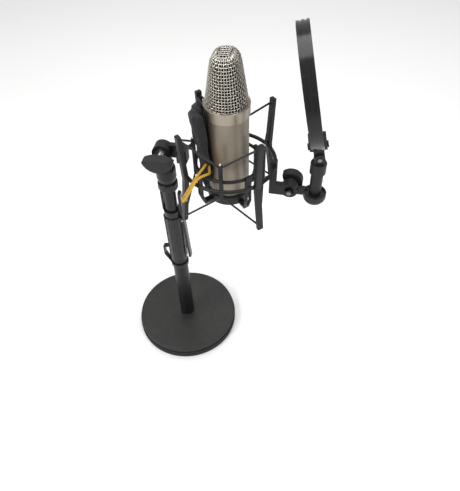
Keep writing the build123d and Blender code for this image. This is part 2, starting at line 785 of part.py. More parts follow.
board_bottom = mic_bottom + mic_cap_height + 6.0
board_top = head_ring_bottom - 4.0
with BuildPart() as chassis_rails:
    with BuildSketch(mic_level(mic_bottom + mic_cap_height)):
        with Locations((0, (board_width + rail_width) / 2), (0, -(board_width + rail_width) / 2)):
            Rectangle(8.0, rail_width)
    extrude(amount=head_ring_top - head_plate_thickness - mic_bottom - mic_cap_height)
save(chassis_rails.part, "chassis_rails")

with BuildPart() as circuit_board:
    with BuildSketch(mic_level(board_bottom)):
        Rectangle(board_thickness, board_width)
    extrude(amount=board_top - board_bottom)
save(circuit_board.part, "circuit_board")

with BuildPart() as board_components:
    front = Plane(origin=(mic_offset + board_thickness / 2, 0, 0), x_dir=(0, 1, 0), z_dir=(1, 0, 0))
    back = Plane(origin=(mic_offset - board_thickness / 2, 0, 0), x_dir=(0, -1, 0), z_dir=(-1, 0, 0))
    with BuildSketch(front):
        with Locations((-8, board_bottom + 12), (6, board_bottom + 12), (-8, board_bottom + 28)):
            Circle(5.0)
    extrude(amount=11.0)
    with BuildSketch(front):
        with Locations((7, board_bottom + 34), (-6, board_bottom + 50), (8, board_bottom + 62)):
            Rectangle(10.0, 6.0)
    extrude(amount=6.0)
    with BuildSketch(back):
        with Locations((-8, board_bottom + 16), (6, board_bottom + 34), (-2, board_bottom + 58)):
            Rectangle(9.0, 12.0)
    extrude(amount=8.0)
save(board_components.part, "board_components")

insert_bottom = mic_bottom + 2.0 - connector_insert_length
with BuildPart() as connector_pins:
    with BuildSketch(mic_level(mic_bottom - spigot_length + 3.0)):
        with PolarLocations(connector_pin_circle, 3, start_angle=90):
            Circle(connector_pin_radius)
    extrude(amount=insert_bottom + connector_insert_length - mic_bottom + spigot_length - 3.0)
save(connector_pins.part, "connector_pins")

with BuildPart() as connector_insert:
    with BuildSketch(mic_level(insert_bottom)):
        Circle(connector_bore_radius)
        with PolarLocations(connector_pin_circle, 3, start_angle=90):
            Circle(connector_pin_radius, mode=Mode.SUBTRACT)
    extrude(amount=connector_insert_length)
save(connector_insert.part, "connector_insert")

# ---------------------------------------------------------------- pop filter's arm
ring_right = mic_offset + outer_ring_radius
with BuildPart() as pop_bracket:
    with BuildSketch(side_plane(pop_bracket_thickness / 2)):
        with Locations((ring_right - 1.5, (pop_hinge_height - 8.0 + ring_height + 7.5) / 2)):
            Rectangle(9.0, ring_height + 7.5 - pop_hinge_height + 8.0)
        with Locations(((ring_right - 6.0 + pop_x) / 2, pop_hinge_height)):
            Rectangle(pop_x - ring_right + 6.0, 16.0)
        with Locations((pop_x, pop_hinge_height)):
            Circle(pop_hinge_radius)
    extrude(amount=pop_bracket_thickness)
    fillet(pop_bracket.edges().filter_by(Axis.Y).group_by(Axis.X)[0], 1.5)
    with BuildSketch(side_plane(pop_bracket_thickness / 2)):
        with Locations((pop_x, pop_hinge_height)):
            Circle(pop_screw_radius + running_gap)
    extrude(amount=pop_bracket_thickness, mode=Mode.SUBTRACT)
    with Locations((mic_offset, 0, ring_height)):
        Torus(outer_ring_radius, outer_ring_bar, mode=Mode.SUBTRACT)
save(pop_bracket.part, "pop_bracket")

pop_nut_thickness = 4.0
pop_nut_width = 8.6
with BuildPart() as pop_nut:
    with BuildSketch(side_plane(-pop_bracket_thickness / 2)):
        with Locations((pop_x, pop_hinge_height)):
            Rectangle(pop_nut_width, pop_nut_width, rotation=30)
            Circle(pop_screw_radius + running_gap, mode=Mode.SUBTRACT)
    extrude(amount=pop_nut_thickness)
save(pop_nut.part, "pop_nut")

pop_arm_front = pop_bracket_thickness / 2 + face_gap
pop_arm_back = pop_arm_front + pop_arm_thickness
pop_knob_front = pop_arm_back + 2.0
pop_knob_back = pop_knob_front + pop_knob_thickness
cup_rim = pop_hinge_height + 1.0
cup_bottom = cup_rim - cup_depth
with BuildPart() as pop_arm:
    with BuildSketch(side_plane(pop_arm_back)):
        with Locations((pop_x, pop_hinge_height)):
            Circle(pop_hinge_radius)
        with Locations(((pop_x + rod_x - cup_radius * 0.6) / 2, pop_hinge_height - 5.5)):
            Rectangle(rod_x - cup_radius * 0.6 - pop_x, pop_arm_height)
    extrude(amount=pop_arm_thickness)
    with BuildSketch(side_plane(0)):
        with BuildLine():
            Polyline((rod_x, cup_bottom), (rod_x + 6.0, cup_bottom))
            ThreePointArc(
                (rod_x + 6.0, cup_bottom),
                (rod_x + cup_radius * 0.86, cup_bottom + cup_depth * 0.28),
                (rod_x + cup_radius, cup_bottom + cup_depth * 0.62),
            )
            Polyline(
                (rod_x + cup_radius, cup_bottom + cup_depth * 0.62),
                (rod_x + cup_radius, cup_rim),
                (rod_x + cup_radius - 1.8, cup_rim),
                (rod_x + cup_radius - 2.6, cup_rim - 2.4),
                (rod_x, cup_rim - 2.4),
                (rod_x, cup_bottom),
            )
        make_face()
    revolve(axis=Axis((rod_x, 0, 0), (0, 0, 1)))
    with BuildSketch(side_plane(pop_arm_back)):
        with Locations((pop_x, pop_hinge_height)):
            Circle(pop_screw_radius + running_gap)
    extrude(amount=pop_arm_thickness, mode=Mode.SUBTRACT)
    with BuildSketch(Plane(origin=(rod_x, 0, rod_bottom - face_gap))):
        Circle(rod_radius + running_gap)
    extrude(amount=cup_rim - rod_bottom + 1.0, mode=Mode.SUBTRACT)
save(pop_arm.part, "pop_arm")


def half_moon(radius, rise, belly):
    """Outline of a half-moon knob: an arc above, and a flatter one a belly's depth below the centre."""
    with BuildSketch() as outline:
        with BuildLine():
            ThreePointArc((-radius, rise), (0, radius), (radius, rise))
            ThreePointArc((radius, rise), (0, -belly), (-radius, rise))
        make_face()
    return outline.sketch


with BuildPart() as pop_screw:
    with BuildSketch(side_plane(pop_knob_back - 3.0)):
        with Locations((pop_x, pop_hinge_height)):
            Circle(pop_screw_radius)
    extrude(amount=pop_knob_back - 3.0 + pop_bracket_thickness / 2 + pop_nut_thickness + 1.2)
save(pop_screw.part, "pop_screw")

with BuildPart() as pop_knob:
    with BuildSketch(side_plane(pop_knob_back)):
        with Locations((pop_x, pop_hinge_height)):
            add(half_moon(pop_knob_radius, 1.0, 6.0), rotation=pop_knob_turn)
    extrude(amount=pop_knob_thickness)
    fillet(pop_knob.edges().filter_by(GeomType.CIRCLE), 1.2)
    with BuildSketch(side_plane(pop_knob_back - 3.0)):
        with Locations((pop_x, pop_hinge_height)):
            Circle(pop_screw_radius)
    extrude(amount=pop_knob_thickness, mode=Mode.SUBTRACT)
save(pop_knob.part, "pop_knob")

# ---------------------------------------------------------------- rod, tongue and hoop
turn = radians(hoop_turn)
tilt = radians(hoop_tilt)
rod_frame = Plane(origin=(rod_x, 0, rivet_height), x_dir=(cos(turn), sin(turn), 0), z_dir=(0, 0, 1))
hoop_frame = Plane(
    origin=(rod_x, 0, rivet_height),
    x_dir=(cos(tilt) * cos(turn), cos(tilt) * sin(turn), sin(tilt)),
    z_dir=(-sin(tilt) * cos(turn), -sin(tilt) * sin(turn), cos(tilt)),
)


def across(frame, offset):
    """Plane through the rivet, facing back along the frame's y, moved by an offset along it."""
    return Plane(origin=frame.origin + frame.y_dir * offset, x_dir=frame.x_dir, z_dir=-frame.y_dir)


def facing(frame, offset):
    """Plane through the rivet, facing along the frame's x, moved by an offset along it."""
    return Plane(origin=frame.origin + frame.x_dir * offset, x_dir=frame.y_dir, z_dir=frame.x_dir)


cheek_inner = tongue_thickness / 2 + face_gap
cheek_outer = cheek_inner + fork_cheek
collar_rise = rivet_height - collar_top
with BuildPart() as pop_rod:
    with BuildSketch(Plane(origin=(rod_x, 0, rod_bottom))):
        Circle(rod_radius)
    extrude(amount=rod_top - rod_bottom)
    with BuildSketch(Plane(origin=(rod_x, 0, collar_bottom))):
        Circle(collar_radius)
    extrude(amount=collar_top - collar_bottom)
    fillet(pop_rod.edges().group_by(Axis.Z)[-1], 1.2)
    for cheek_face in (cheek_outer, -cheek_inner):
        with BuildSketch(across(rod_frame, cheek_face)):
            Circle(tongue_width / 2)
            with Locations((0, -(collar_rise + 2.0) / 2)):
                Rectangle(tongue_width, collar_rise + 2.0)
        extrude(amount=fork_cheek)
    with BuildSketch(across(rod_frame, cheek_outer)):
        Circle(rivet_radius + running_gap)
    extrude(amount=2 * cheek_outer, mode=Mode.SUBTRACT)
save(pop_rod.part, "pop_rod")

rivet_head = 1.2
with BuildPart() as tongue_rivet:
    with BuildSketch(across(rod_frame, cheek_outer)):
        Circle(rivet_radius)
    extrude(amount=2 * cheek_outer)
    for head_face in (cheek_outer + rivet_head, -cheek_outer):
        with BuildSketch(across(rod_frame, head_face)):
            Circle(rivet_radius + 1.0)
        extrude(amount=rivet_head)
save(tongue_rivet.part, "tongue_rivet")

clip_inner = hoop_depth / 2 + running_gap
knuckle_half = clip_inner - face_gap
with BuildPart() as hoop_tongue:
    with BuildSketch(across(hoop_frame, tongue_thickness / 2)):
        Circle(tongue_width / 2)
        with Locations((0, pivot_rise / 2)):
            Rectangle(tongue_width, pivot_rise)
    extrude(amount=tongue_thickness)
    with BuildSketch(facing(hoop_frame, -knuckle_half)):
        with Locations((0, pivot_rise)):
            Circle(knuckle_radius)
    extrude(amount=2 * knuckle_half)
    with BuildSketch(across(hoop_frame, tongue_thickness / 2)):
        Circle(rivet_radius + running_gap)
    extrude(amount=tongue_thickness, mode=Mode.SUBTRACT)
    with BuildSketch(facing(hoop_frame, -knuckle_half)):
        with Locations((0, pivot_rise)):
            Circle(pivot_screw_radius)
    extrude(amount=2 * knuckle_half, mode=Mode.SUBTRACT)
save(hoop_tongue.part, "hoop_tongue")

clip_outer = clip_inner + clip_cheek
screw_head = 1.8
screw_reach = clip_outer + face_gap
with BuildPart() as pivot_screw:
    with BuildSketch(facing(hoop_frame, -screw_reach)):
        with Locations((0, pivot_rise)):
            Circle(pivot_screw_radius)
    extrude(amount=2 * screw_reach)
    for head_face in (-screw_reach - screw_head, screw_reach):
        with BuildSketch(facing(hoop_frame, head_face)):
            with Locations((0, pivot_rise)):
                Circle(pivot_screw_radius + 1.8)
        extrude(amount=screw_head)
save(pivot_screw.part, "pivot_screw")

hoop_middle = hoop_rise + hoop_radius
bridge_bottom = pivot_rise + knuckle_radius + 0.7
with BuildPart() as hoop_clip:
    with BuildSketch(facing(hoop_frame, -clip_outer)):
        with Locations((0, pivot_rise)):
            Circle(clip_cheek_radius)
        with Locations((0, (pivot_rise + hoop_rise + 4.0) / 2)):
            Rectangle(2 * clip_cheek_radius, hoop_rise + 4.0 - pivot_rise)
    extrude(amount=2 * clip_outer)
    with BuildSketch(facing(hoop_frame, -clip_inner)):
        with Locations((0, bridge_bottom - 20.0)):
            Rectangle(40.0, 40.0)
    extrude(amount=2 * clip_inner, mode=Mode.SUBTRACT)
    with BuildSketch(facing(hoop_frame, -clip_inner)):
        with Locations((0, hoop_middle)):
            Circle(hoop_radius)
    extrude(amount=2 * clip_inner, mode=Mode.SUBTRACT)
    with BuildSketch(facing(hoop_frame, -clip_outer)):
        with Locations((0, pivot_rise)):
            Circle(pivot_screw_radius + running_gap)
    extrude(amount=2 * clip_outer, mode=Mode.SUBTRACT)
save(hoop_clip.part, "hoop_clip")

hoop_inner = hoop_radius - hoop_wall
flange_width = 1.4
with BuildPart() as hoop_band:
    with BuildSketch(facing(hoop_frame, -hoop_depth / 2)):
        with Locations((0, hoop_middle)):
            Circle(hoop_radius)
            Circle(hoop_inner, mode=Mode.SUBTRACT)
    extrude(amount=hoop_depth)
    for groove_x in (-4.0, 1.6):
        with BuildSketch(facing(hoop_frame, groove_x)):
            with Locations((0, hoop_middle)):
                Circle(hoop_radius)
                Circle(hoop_radius - hoop_groove, mode=Mode.SUBTRACT)
        extrude(amount=2.4, mode=Mode.SUBTRACT)
    for flange_x in (-screen_spacing / 2 - screen_thickness - flange_width, screen_spacing / 2 + screen_thickness):
        with BuildSketch(facing(hoop_frame, flange_x)):
            with Locations((0, hoop_middle)):
                Circle(hoop_inner)
                Circle(hoop_inner - retainer_width, mode=Mode.SUBTRACT)
        extrude(amount=flange_width)
save(hoop_band.part, "hoop_band")

with BuildPart() as hoop_screens:
    for screen_x in (-screen_spacing / 2 - screen_thickness, screen_spacing / 2):
        with BuildSketch(facing(hoop_frame, screen_x)):
            with Locations((0, hoop_middle)):
                Circle(hoop_inner)
        extrude(amount=screen_thickness)
save(hoop_screens.part, "hoop_screens")

# ---------------------------------------------------------------- dust pouch and drawstring
knot_place = (42.6, -59.9, 361.8)
upper_route = [
    (65.0, -25.0, 394.6),
    (64.2, -33.0, 395.1),
    (60.9, -42.0, 393.4),
    (56.4, -51.0, 389.5),
    (52.2, -57.5, 383.4),
    (47.3, -60.0, 374.5),
    (41.6, -57.9, 362.8),
]
lower_route = [
    (67.2, -25.0, 390.4),
    (69.2, -31.0, 388.6),
    (71.8, -37.3, 389.4),
    (68.8, -43.5, 391.8),
    (63.4, -48.6, 392.4),
    (58.8, -54.6, 390.6),
    (55.2, -61.0, 385.6),
    (50.6, -64.0, 376.4),
    (44.4, -62.0, 364.3),
]


def string_radii(route):
    """Arc at each corner of a cord's route, as large as its two runs allow."""
    points = [Vector(point) for point in route]
    radii = []
    for before, corner, after in zip(points, points[1:], points[2:]):
        first, second = corner - before, after - corner
        half_turn = radians(first.get_angle(second)) / 2
        radii.append(0.45 * min(first.length, second.length) / tan(half_turn))
    return radii


def string_tube(route, radius):
    """Round tube along a cord's route, and the route's length."""
    with BuildPart() as tube:
        with BuildLine():
            run = FilletPolyline(*route, radius=string_radii(route))
        with BuildSketch(Plane(origin=run @ 0, z_dir=run % 0)):
            Circle(radius)
        sweep(path=run)
    return tube.part, run.length


strings = {"drawstring_upper": upper_route, "drawstring_lower": lower_route}
for string_name, route in strings.items():
    string, run_length = string_tube(route, string_radius)
    share = string.volume / (pi * string_radius**2 * run_length)
    print(string_name, "arc radii", [round(radius, 1) for radius in string_radii(route)])
    print(string_name, "length", round(run_length, 1), "volume over section times length", round(share, 3))
    save(string, string_name)
string_channels = [string_tube(route, string_radius + running_gap)[0] for route in strings.values()]

with BuildPart() as string_knot:
    with Locations(knot_place):
        Sphere(knot_radius)
    add(string_channels, mode=Mode.SUBTRACT)
save(string_knot.part, "string_knot")


def pouch_section(height, inner, outer, start_angle, end_angle):
    """Slice of the folded pouch: a piece of a ring about the microphone."""
    middle = (start_angle + end_angle) / 2

    def spot(radius, angle):
        return (radius * cos(radians(angle)), radius * sin(radians(angle)))

    with BuildSketch(mic_level(height)) as section:
        with BuildLine():
            ThreePointArc(spot(inner, start_angle), spot(inner, middle), spot(inner, end_angle))
            Line(spot(inner, end_angle), spot(outer, end_angle))
            ThreePointArc(spot(outer, end_angle), spot(outer, middle), spot(outer, start_angle))
            Line(spot(outer, start_angle), spot(inner, start_angle))
        make_face()
    return section.sketch


pouch_inner = head_ring_radius + 1.2
pouch_outer = cradle_ring_radius - cradle_ring_bar - 1.3
with BuildPart() as dust_pouch:
    loft(
        [
            pouch_section(352.0, pouch_inner + 1.5, pouch_outer - 1.5, 162, 228),
            pouch_section(385.0, pouch_inner, pouch_outer, 158, 236),
            pouch_section(430.0, pouch_inner, pouch_outer + 1.5, 160, 232),
            pouch_section(463.0, pouch_inner + 0.5, pouch_outer + 3.5, 164, 222),
        ],
        ruled=True,
    )
    add(string_channels, mode=Mode.SUBTRACT)
save(dust_pouch.part, "dust_pouch")
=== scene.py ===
from math import cos, hypot, pi, radians, sin

import bpy
from mathutils import Matrix, Vector, noise


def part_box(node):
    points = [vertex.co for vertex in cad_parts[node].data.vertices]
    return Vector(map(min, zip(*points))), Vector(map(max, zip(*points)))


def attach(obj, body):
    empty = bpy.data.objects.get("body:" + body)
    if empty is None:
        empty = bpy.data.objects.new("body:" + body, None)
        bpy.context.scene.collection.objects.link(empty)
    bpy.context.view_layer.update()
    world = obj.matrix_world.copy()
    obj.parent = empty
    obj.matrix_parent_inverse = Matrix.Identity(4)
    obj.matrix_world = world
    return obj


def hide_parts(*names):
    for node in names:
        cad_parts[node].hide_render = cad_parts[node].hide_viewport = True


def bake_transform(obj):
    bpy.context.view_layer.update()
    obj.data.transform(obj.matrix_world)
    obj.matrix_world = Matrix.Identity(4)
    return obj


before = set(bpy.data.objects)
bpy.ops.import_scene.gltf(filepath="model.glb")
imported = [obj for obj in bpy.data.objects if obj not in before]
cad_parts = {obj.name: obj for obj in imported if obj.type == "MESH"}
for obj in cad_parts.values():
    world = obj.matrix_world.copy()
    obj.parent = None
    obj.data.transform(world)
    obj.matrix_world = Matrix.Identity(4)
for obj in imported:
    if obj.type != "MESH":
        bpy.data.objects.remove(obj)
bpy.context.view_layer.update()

bl_info = {
    "name": "Studio microphone looks",
    "version": (1, 0, 0),
    "blender": (4, 5, 0),
    "location": "View3D > Sidebar > Microphone",
    "description": "Finishes and soft pieces of a condenser microphone on its desk stand",
    "category": "Object",
}

MM = 0.001
tube_low, tube_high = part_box("mic_body_tube")
grille_low, grille_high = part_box("outer_grille")
pouch_low, pouch_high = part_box("dust_pouch")
mic_x = (tube_low.x + tube_high.x) / 2

BAND_PERIOD = 0.314          # metres from band to band at scale 1, along one axis
DIAGONAL_PERIOD = 0.628      # the same for diagonal bands squeezed onto one axis
BRAID_SCALE = 0.18           # scale times strand width, for one band every two strands

DUST_FILM = (0.10, 0.096, 0.09, 1.0)
DUST_SPECK = (0.16, 0.155, 0.145, 1.0)
GRAIN_DUST = (0.09, 0.087, 0.082, 1.0)
SCUFFED = (0.09, 0.09, 0.09, 1.0)
LINT = (0.12, 0.12, 0.14, 1.0)
COPPER = (0.5, 0.3, 0.1, 1.0)
BLACK = (0, 0, 0, 1)
WHITE = (1, 1, 1, 1)


# ---------------------------------------------------------------- shader building
class Value:
    """A node socket that can be used in sums, differences and products."""

    def __init__(self, finish, socket):
        self.finish = finish
        self.socket = socket

    def _math(self, operation, first, second):
        return self.finish.node("ShaderNodeMath", {"operation": operation}, {0: first, 1: second})

    def __add__(self, other):
        return self._math("ADD", self, other)

    __radd__ = __add__

    def __mul__(self, other):
        return self._math("MULTIPLY", self, other)

    __rmul__ = __mul__

    def __sub__(self, other):
        return self._math("SUBTRACT", self, other)

    def __rsub__(self, other):
        return self._math("SUBTRACT", other, self)


class Finish:
    """One material's node tree."""

    def __init__(self, name):
        self.material = bpy.data.materials.new(name)
        self.material.use_nodes = True
        self.tree = self.material.node_tree
        self.tree.nodes.clear()

    def node(self, kind, settings=None, sockets=None, output=0):
        """Add a node: its settings first, then the values or links of its sockets."""
        made = self.tree.nodes.new(kind)
        for name, value in (settings or {}).items():
            if name == "stops":
                self._set_stops(made.color_ramp, value)
            else:
                setattr(made, name, value)
        for key, value in (sockets or {}).items():
            if isinstance(value, Value):
                self.tree.links.new(value.socket, made.inputs[key])
            else:
                made.inputs[key].default_value = value
        return Value(self, made.outputs[output]) if made.outputs else None

    @staticmethod
    def _set_stops(ramp, stops):
        while len(ramp.elements) < len(stops):
            ramp.elements.new(1.0)
        for element, (place, grey) in zip(ramp.elements, stops):
            element.position = place
            element.color = (grey, grey, grey, 1.0)

    def place(self, stretch=(1, 1, 1)):
        """The piece's own coordinates in metres, stretched along each axis."""
        spot = self.node("ShaderNodeTexCoord", output=3)
        return self.node("ShaderNodeVectorMath", {"operation": "MULTIPLY"}, {0: spot, 1: stretch})

    def noise(self, per_metre, detail, stretch=(1, 1, 1)):
        """Soft noise from 0 to 1 with that many features to the metre."""
        sockets = {"Vector": self.place(stretch), "Scale": per_metre, "Detail": detail}
        return self.node("ShaderNodeTexNoise", None, sockets)

    def bands(self, direction, scale, stretch=(1, 1, 1), distortion=0.0):
        """Soft parallel bands from 0 to 1 across one direction."""
        settings = {"wave_type": "BANDS", "bands_direction": direction, "wave_profile": "SIN"}
        sockets = {"Vector": self.place(stretch), "Scale": scale, "Distortion": distortion}
        return self.node("ShaderNodeTexWave", settings, sockets, output=1)

    def grid(self, pitch):
        """1 along a square grid of upright and level threads, 0 in the gaps between them."""
        across = self.bands("Y", BAND_PERIOD / pitch)
        upright = self.bands("Z", BAND_PERIOD / pitch)
        return self.node("ShaderNodeMath", {"operation": "MAXIMUM"}, {0: across, 1: upright})

    def ramp(self, value, low, high, start=0.0, end=1.0):
        """Value rescaled from low..high to start..end and held there."""
        sockets = {0: value, 1: low, 2: high, 3: start, 4: end}
        return self.node("ShaderNodeMapRange", {"clamp": True}, sockets)

    def blend(self, share, first, second):
        """Colour mixed from first to second by share."""
        sockets = {0: share, 6: first, 7: second}
        return self.node("ShaderNodeMix", {"data_type": "RGBA"}, sockets, output=2)

    def facing_up(self):
        """1 on faces that look up, 0 on walls and undersides."""
        normal = self.node("ShaderNodeNewGeometry", output=1)
        height = self.node("ShaderNodeSeparateXYZ", None, {0: normal}, output=2)
        return self.ramp(height, 0.25, 0.95)

    def bump(self, height, depth):
        """Normal raised by height, times a depth in metres."""
        return self.node("ShaderNodeBump", None, {"Strength": 1.0, "Distance": depth, "Height": height})

    def surface(self, **sockets):
        """Close the tree with the main shader; an underscore in a name stands for a space."""
        named = {name.replace("_", " "): value for name, value in sockets.items()}
        shader = self.node("ShaderNodeBsdfPrincipled", None, named)
        self.node("ShaderNodeOutputMaterial", None, {"Surface": shader})
        return self.material


def shade(colour, factor):
    """A colour made lighter or darker, with its alpha."""
    return (colour[0] * factor, colour[1] * factor, colour[2] * factor, 1.0)


def painted_metal(name, colour, rough, dust=0.25, grain=700.0):
    """Satin paint on metal: faint orange peel, hand marks, and dust on what faces up."""
    finish = Finish(name)
    peel = finish.noise(grain, 2.0)
    smudge = finish.noise(28.0, 4.0)
    specks = finish.ramp(finish.noise(900.0, 1.0), 0.62, 0.72)
    settled = finish.facing_up() * finish.ramp(smudge, 0.35, 0.75)
    worn = finish.blend(settled * dust * 0.25, shade(colour, 0.9), DUST_FILM)
    colours = finish.blend(specks * finish.facing_up() * dust, worn, DUST_SPECK)
    return finish.surface(
        Base_Color=colours,
        Roughness=rough + smudge * 0.12 - 0.06 + settled * 0.05,
        IOR=1.38,
        Normal=finish.bump(peel, 0.00004),
    )


def satin_nickel(name, colour, rough):
    """Fine-blasted plated metal with a soft, slightly uneven sheen and a warm cast in places."""
    finish = Finish(name)
    blast = finish.noise(5200.0, 1.0)
    cloud = finish.noise(14.0, 2.0)
    rings = finish.noise(160.0, 2.0, (0.04, 0.04, 6.0))
    warm = finish.ramp(cloud, 0.52, 0.75)
    colours = finish.blend(warm * 0.45, colour, (colour[0] * 1.02, colour[1] * 0.93, colour[2] * 0.78, 1.0))
    toned = finish.blend(finish.ramp(rings, 0.3, 0.7) * 0.12, colours, shade(colour, 0.82))
    return finish.surface(
        Base_Color=toned,
        Metallic=1.0,
        Roughness=rough + cloud * 0.05 + blast * 0.04 - 0.04,
        Normal=finish.bump(blast, 0.000012),
    )


def bright_plate(name, colour, rough):
    """Plated fastener metal with fine turning marks and slightly dull patches."""
    finish = Finish(name)
    marks = finish.noise(2600.0, 2.0)
    dull = finish.ramp(finish.noise(120.0, 3.0), 0.45, 0.7)
    return finish.surface(
        Base_Color=finish.blend(dull * 0.4, colour, shade(colour, 0.7)),
        Metallic=1.0,
        Roughness=rough + dull * 0.15,
        Normal=finish.bump(marks, 0.00001),
    )


def threaded(name, colour, pitch, axis):
    """Plated screw thread: ridges along one axis at the thread's pitch, with painted shade in the grooves
    between them.
    """
    finish = Finish(name)
    stretch = [0.0, 0.0, 0.0]
    stretch[axis] = 1.0
    ridge = finish.bands("DIAGONAL", DIAGONAL_PERIOD / pitch, tuple(stretch))
    grime = finish.noise(400.0, 3.0)
    return finish.surface(
        # Base colour: painted shade, darker in the thread's grooves and full colour on its ridges.
        Base_Color=finish.blend(ridge, shade(colour, 0.35), colour),
        Metallic=1.0,
        Roughness=0.22 + grime * 0.2,
        Normal=finish.bump(ridge, pitch * 0.35),
    )


def moulded_plastic(name, colour, rough, grain, depth, dust=0.2):
    """Moulded plastic with an even grain, a few scuffs and dust in the grain."""
    finish = Finish(name)
    pebble = finish.noise(grain, 2.0)
    scuff = finish.ramp(finish.noise(60.0, 5.0, (1.0, 1.0, 3.0)), 0.55, 0.68)
    settled = finish.facing_up() * finish.ramp(finish.noise(45.0, 4.0), 0.4, 0.7)
    greyed = finish.blend(settled * dust * 0.4, colour, GRAIN_DUST)
    return finish.surface(
        Base_Color=finish.blend(scuff * 0.05, greyed, SCUFFED),
        Roughness=rough + scuff * 0.10 + settled * 0.08 + pebble * 0.06,
        IOR=1.40,
        Normal=finish.bump(pebble, depth),
    )


def braided(name, colour, strand, rough, sheen):
    """Cord sheath: crossing diagonal strands with light fuzz, painted highlight on the strands' crests and
    painted shade between them.
    """
    finish = Finish(name)
    scale = BRAID_SCALE / strand
    one = finish.bands("DIAGONAL", scale, (1, 1, 1), distortion=0.6)
    other = finish.bands("DIAGONAL", scale, (-1, 1, 1), distortion=0.6)
    weave = one * other
    fuzz = finish.noise(3000.0, 3.0)
    return finish.surface(
        # Base colour: painted shade between the strands and painted highlight on their crests; the fuzz adds
        # random tone.
        Base_Color=finish.blend(weave * 0.6 + fuzz * 0.3, shade(colour, 0.6), shade(colour, 1.25)),
        Roughness=rough + fuzz * 0.15,
        Sheen_Weight=sheen,
        Normal=finish.bump(weave + fuzz * 0.4, strand * 0.25),
    )


def woven_cloth(name, colour, thread=0.0004):
    """Thin close-woven cloth with a soft sheen, painted highlight on its crumples' crests and painted shade
    in their hollows.
    """
    finish = Finish(name)
    warp = finish.bands("X", BAND_PERIOD / thread, distortion=0.4)
    weft = finish.bands("Z", BAND_PERIOD / thread, distortion=0.4)
    crumple_and_painted_light = finish.noise(90.0, 4.0, (1.0, 1.0, 0.4))
    lint = finish.ramp(finish.noise(1400.0, 2.0), 0.66, 0.74)
    # Painted highlight and painted shade: the colour follows the crumples' bump and is lighter where the
    # cloth is raised.
    cloth = finish.blend(crumple_and_painted_light, shade(colour, 0.6), shade(colour, 1.5))
    return finish.surface(
        Base_Color=finish.blend(lint * 0.25, cloth, LINT),
        Roughness=0.72 + crumple_and_painted_light * 0.15,
        Sheen_Weight=0.08,
        Normal=finish.bump(warp * weft * 0.3 + crumple_and_painted_light, 0.0009),
    )


def screen_cloth(name, colour, thread=0.0007):
    """Open nylon mesh: crossing threads with clear gaps between them, painted highlight along the threads
    and painted shade towards the gaps.
    """
    finish = Finish(name)
    thickness = finish.grid(thread)
    wrinkle = finish.noise(30.0, 2.0)
    return finish.surface(
        # Base colour: painted highlight along the threads and painted shade towards the gaps.
        Base_Color=finish.blend(thickness, shade(colour, 0.6), shade(colour, 1.3)),
        Roughness=0.55 + wrinkle * 0.2,
        Alpha=finish.ramp(thickness, 0.35, 0.7, 0.45, 1.0),
        Normal=finish.bump(thickness + wrinkle * 0.5, 0.0002),
    )


def woven_wire(name, colour, rough):
    """Bright drawn wire, duller where fingers and air have marked it."""
    finish = Finish(name)
    tarnish = finish.ramp(finish.noise(70.0, 3.0), 0.4, 0.75)
    draw = finish.noise(4000.0, 1.0)
    return finish.surface(
        Base_Color=finish.blend(tarnish * 0.5, colour, shade(colour, 0.72)),
        Metallic=1.0,
        Roughness=rough + tarnish * 0.12,
        Normal=finish.bump(draw, 0.000008),
    )


def fine_mesh(name, colour, pitch=0.0007):
    """Close inner mesh: dull wires, with painted shade in the small openings between them."""
    finish = Finish(name)
    wires_over_shaded_cells = finish.ramp(finish.grid(pitch), 0.3, 0.8)
    return finish.surface(
        # Base colour: painted shade, very dark, in the openings between the wires.
        Base_Color=finish.blend(wires_over_shaded_cells, shade(colour, 0.12), colour),
        Metallic=1.0,
        Roughness=0.6 - wires_over_shaded_cells * 0.15,
        Normal=finish.bump(wires_over_shaded_cells, 0.0002),
    )


def circuit_varnish(name, colour):
    """Green board with copper tracks under varnish."""
    finish = Finish(name)
    settings = {"offset": 0.0, "squash": 1.0}
    sockets = {
        "Vector": finish.place(), "Scale": 120.0, "Mortar Size": 0.03, "Color1": BLACK, "Color2": WHITE,
    }
    tracks = finish.node("ShaderNodeTexBrick", settings, sockets, 1)
    patch = finish.noise(300.0, 1.0)
    varnish = finish.blend(patch, colour, shade(colour, 1.5))
    return finish.surface(
        Base_Color=finish.blend(tracks * 0.7, varnish, COPPER),
        Roughness=0.3 + patch * 0.1,
        Normal=finish.bump(tracks, 0.00003),
    )


# ---------------------------------------------------------------- mesh building
def add_mesh(name, points, faces, material):
    """New smooth-shaded mesh object with one material."""
    mesh = bpy.data.meshes.new(name)
    mesh.from_pydata(points, [], faces)
    mesh.materials.append(material)
    for polygon in mesh.polygons:
        polygon.use_smooth = True
    mesh.update()
    piece = bpy.data.objects.new(name, mesh)
    bpy.context.scene.collection.objects.link(piece)
    return piece


def tube_rings(line, radius, sides, closed):
    """Points and faces of a round tube along a line of points."""
    points, faces = [], []
    count = len(line)
    for index, centre in enumerate(line):
        before = line[(index - 1) % count] if closed or index else centre
        after = line[(index + 1) % count] if closed or index < count - 1 else centre
        along = (after - before).normalized()
        side = along.cross(Vector((0.123, 0.311, 0.942))).normalized()
        other = along.cross(side)
        for step in range(sides):
            angle = 2 * pi * step / sides
            points.append(centre + side * (radius * cos(angle)) + other * (radius * sin(angle)))
    for index in range(count if closed else count - 1):
        below, above = index * sides, ((index + 1) % count) * sides
        for step in range(sides):
            turned = (step + 1) % sides
            faces.append((below + step, below + turned, above + turned, above + step))
    return points, faces


def join_tubes(tubes):
    """One list of points and faces from several."""
    points, faces = [], []
    for tube_points, tube_faces in tubes:
        start = len(points)
        points.extend(tube_points)
        faces.extend(tuple(start + corner for corner in face) for face in tube_faces)
    return points, faces


def dress(material, *nodes):
    """Give CAD nodes their material."""
    for name in nodes:
        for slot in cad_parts[name].material_slots:
            slot.material = material


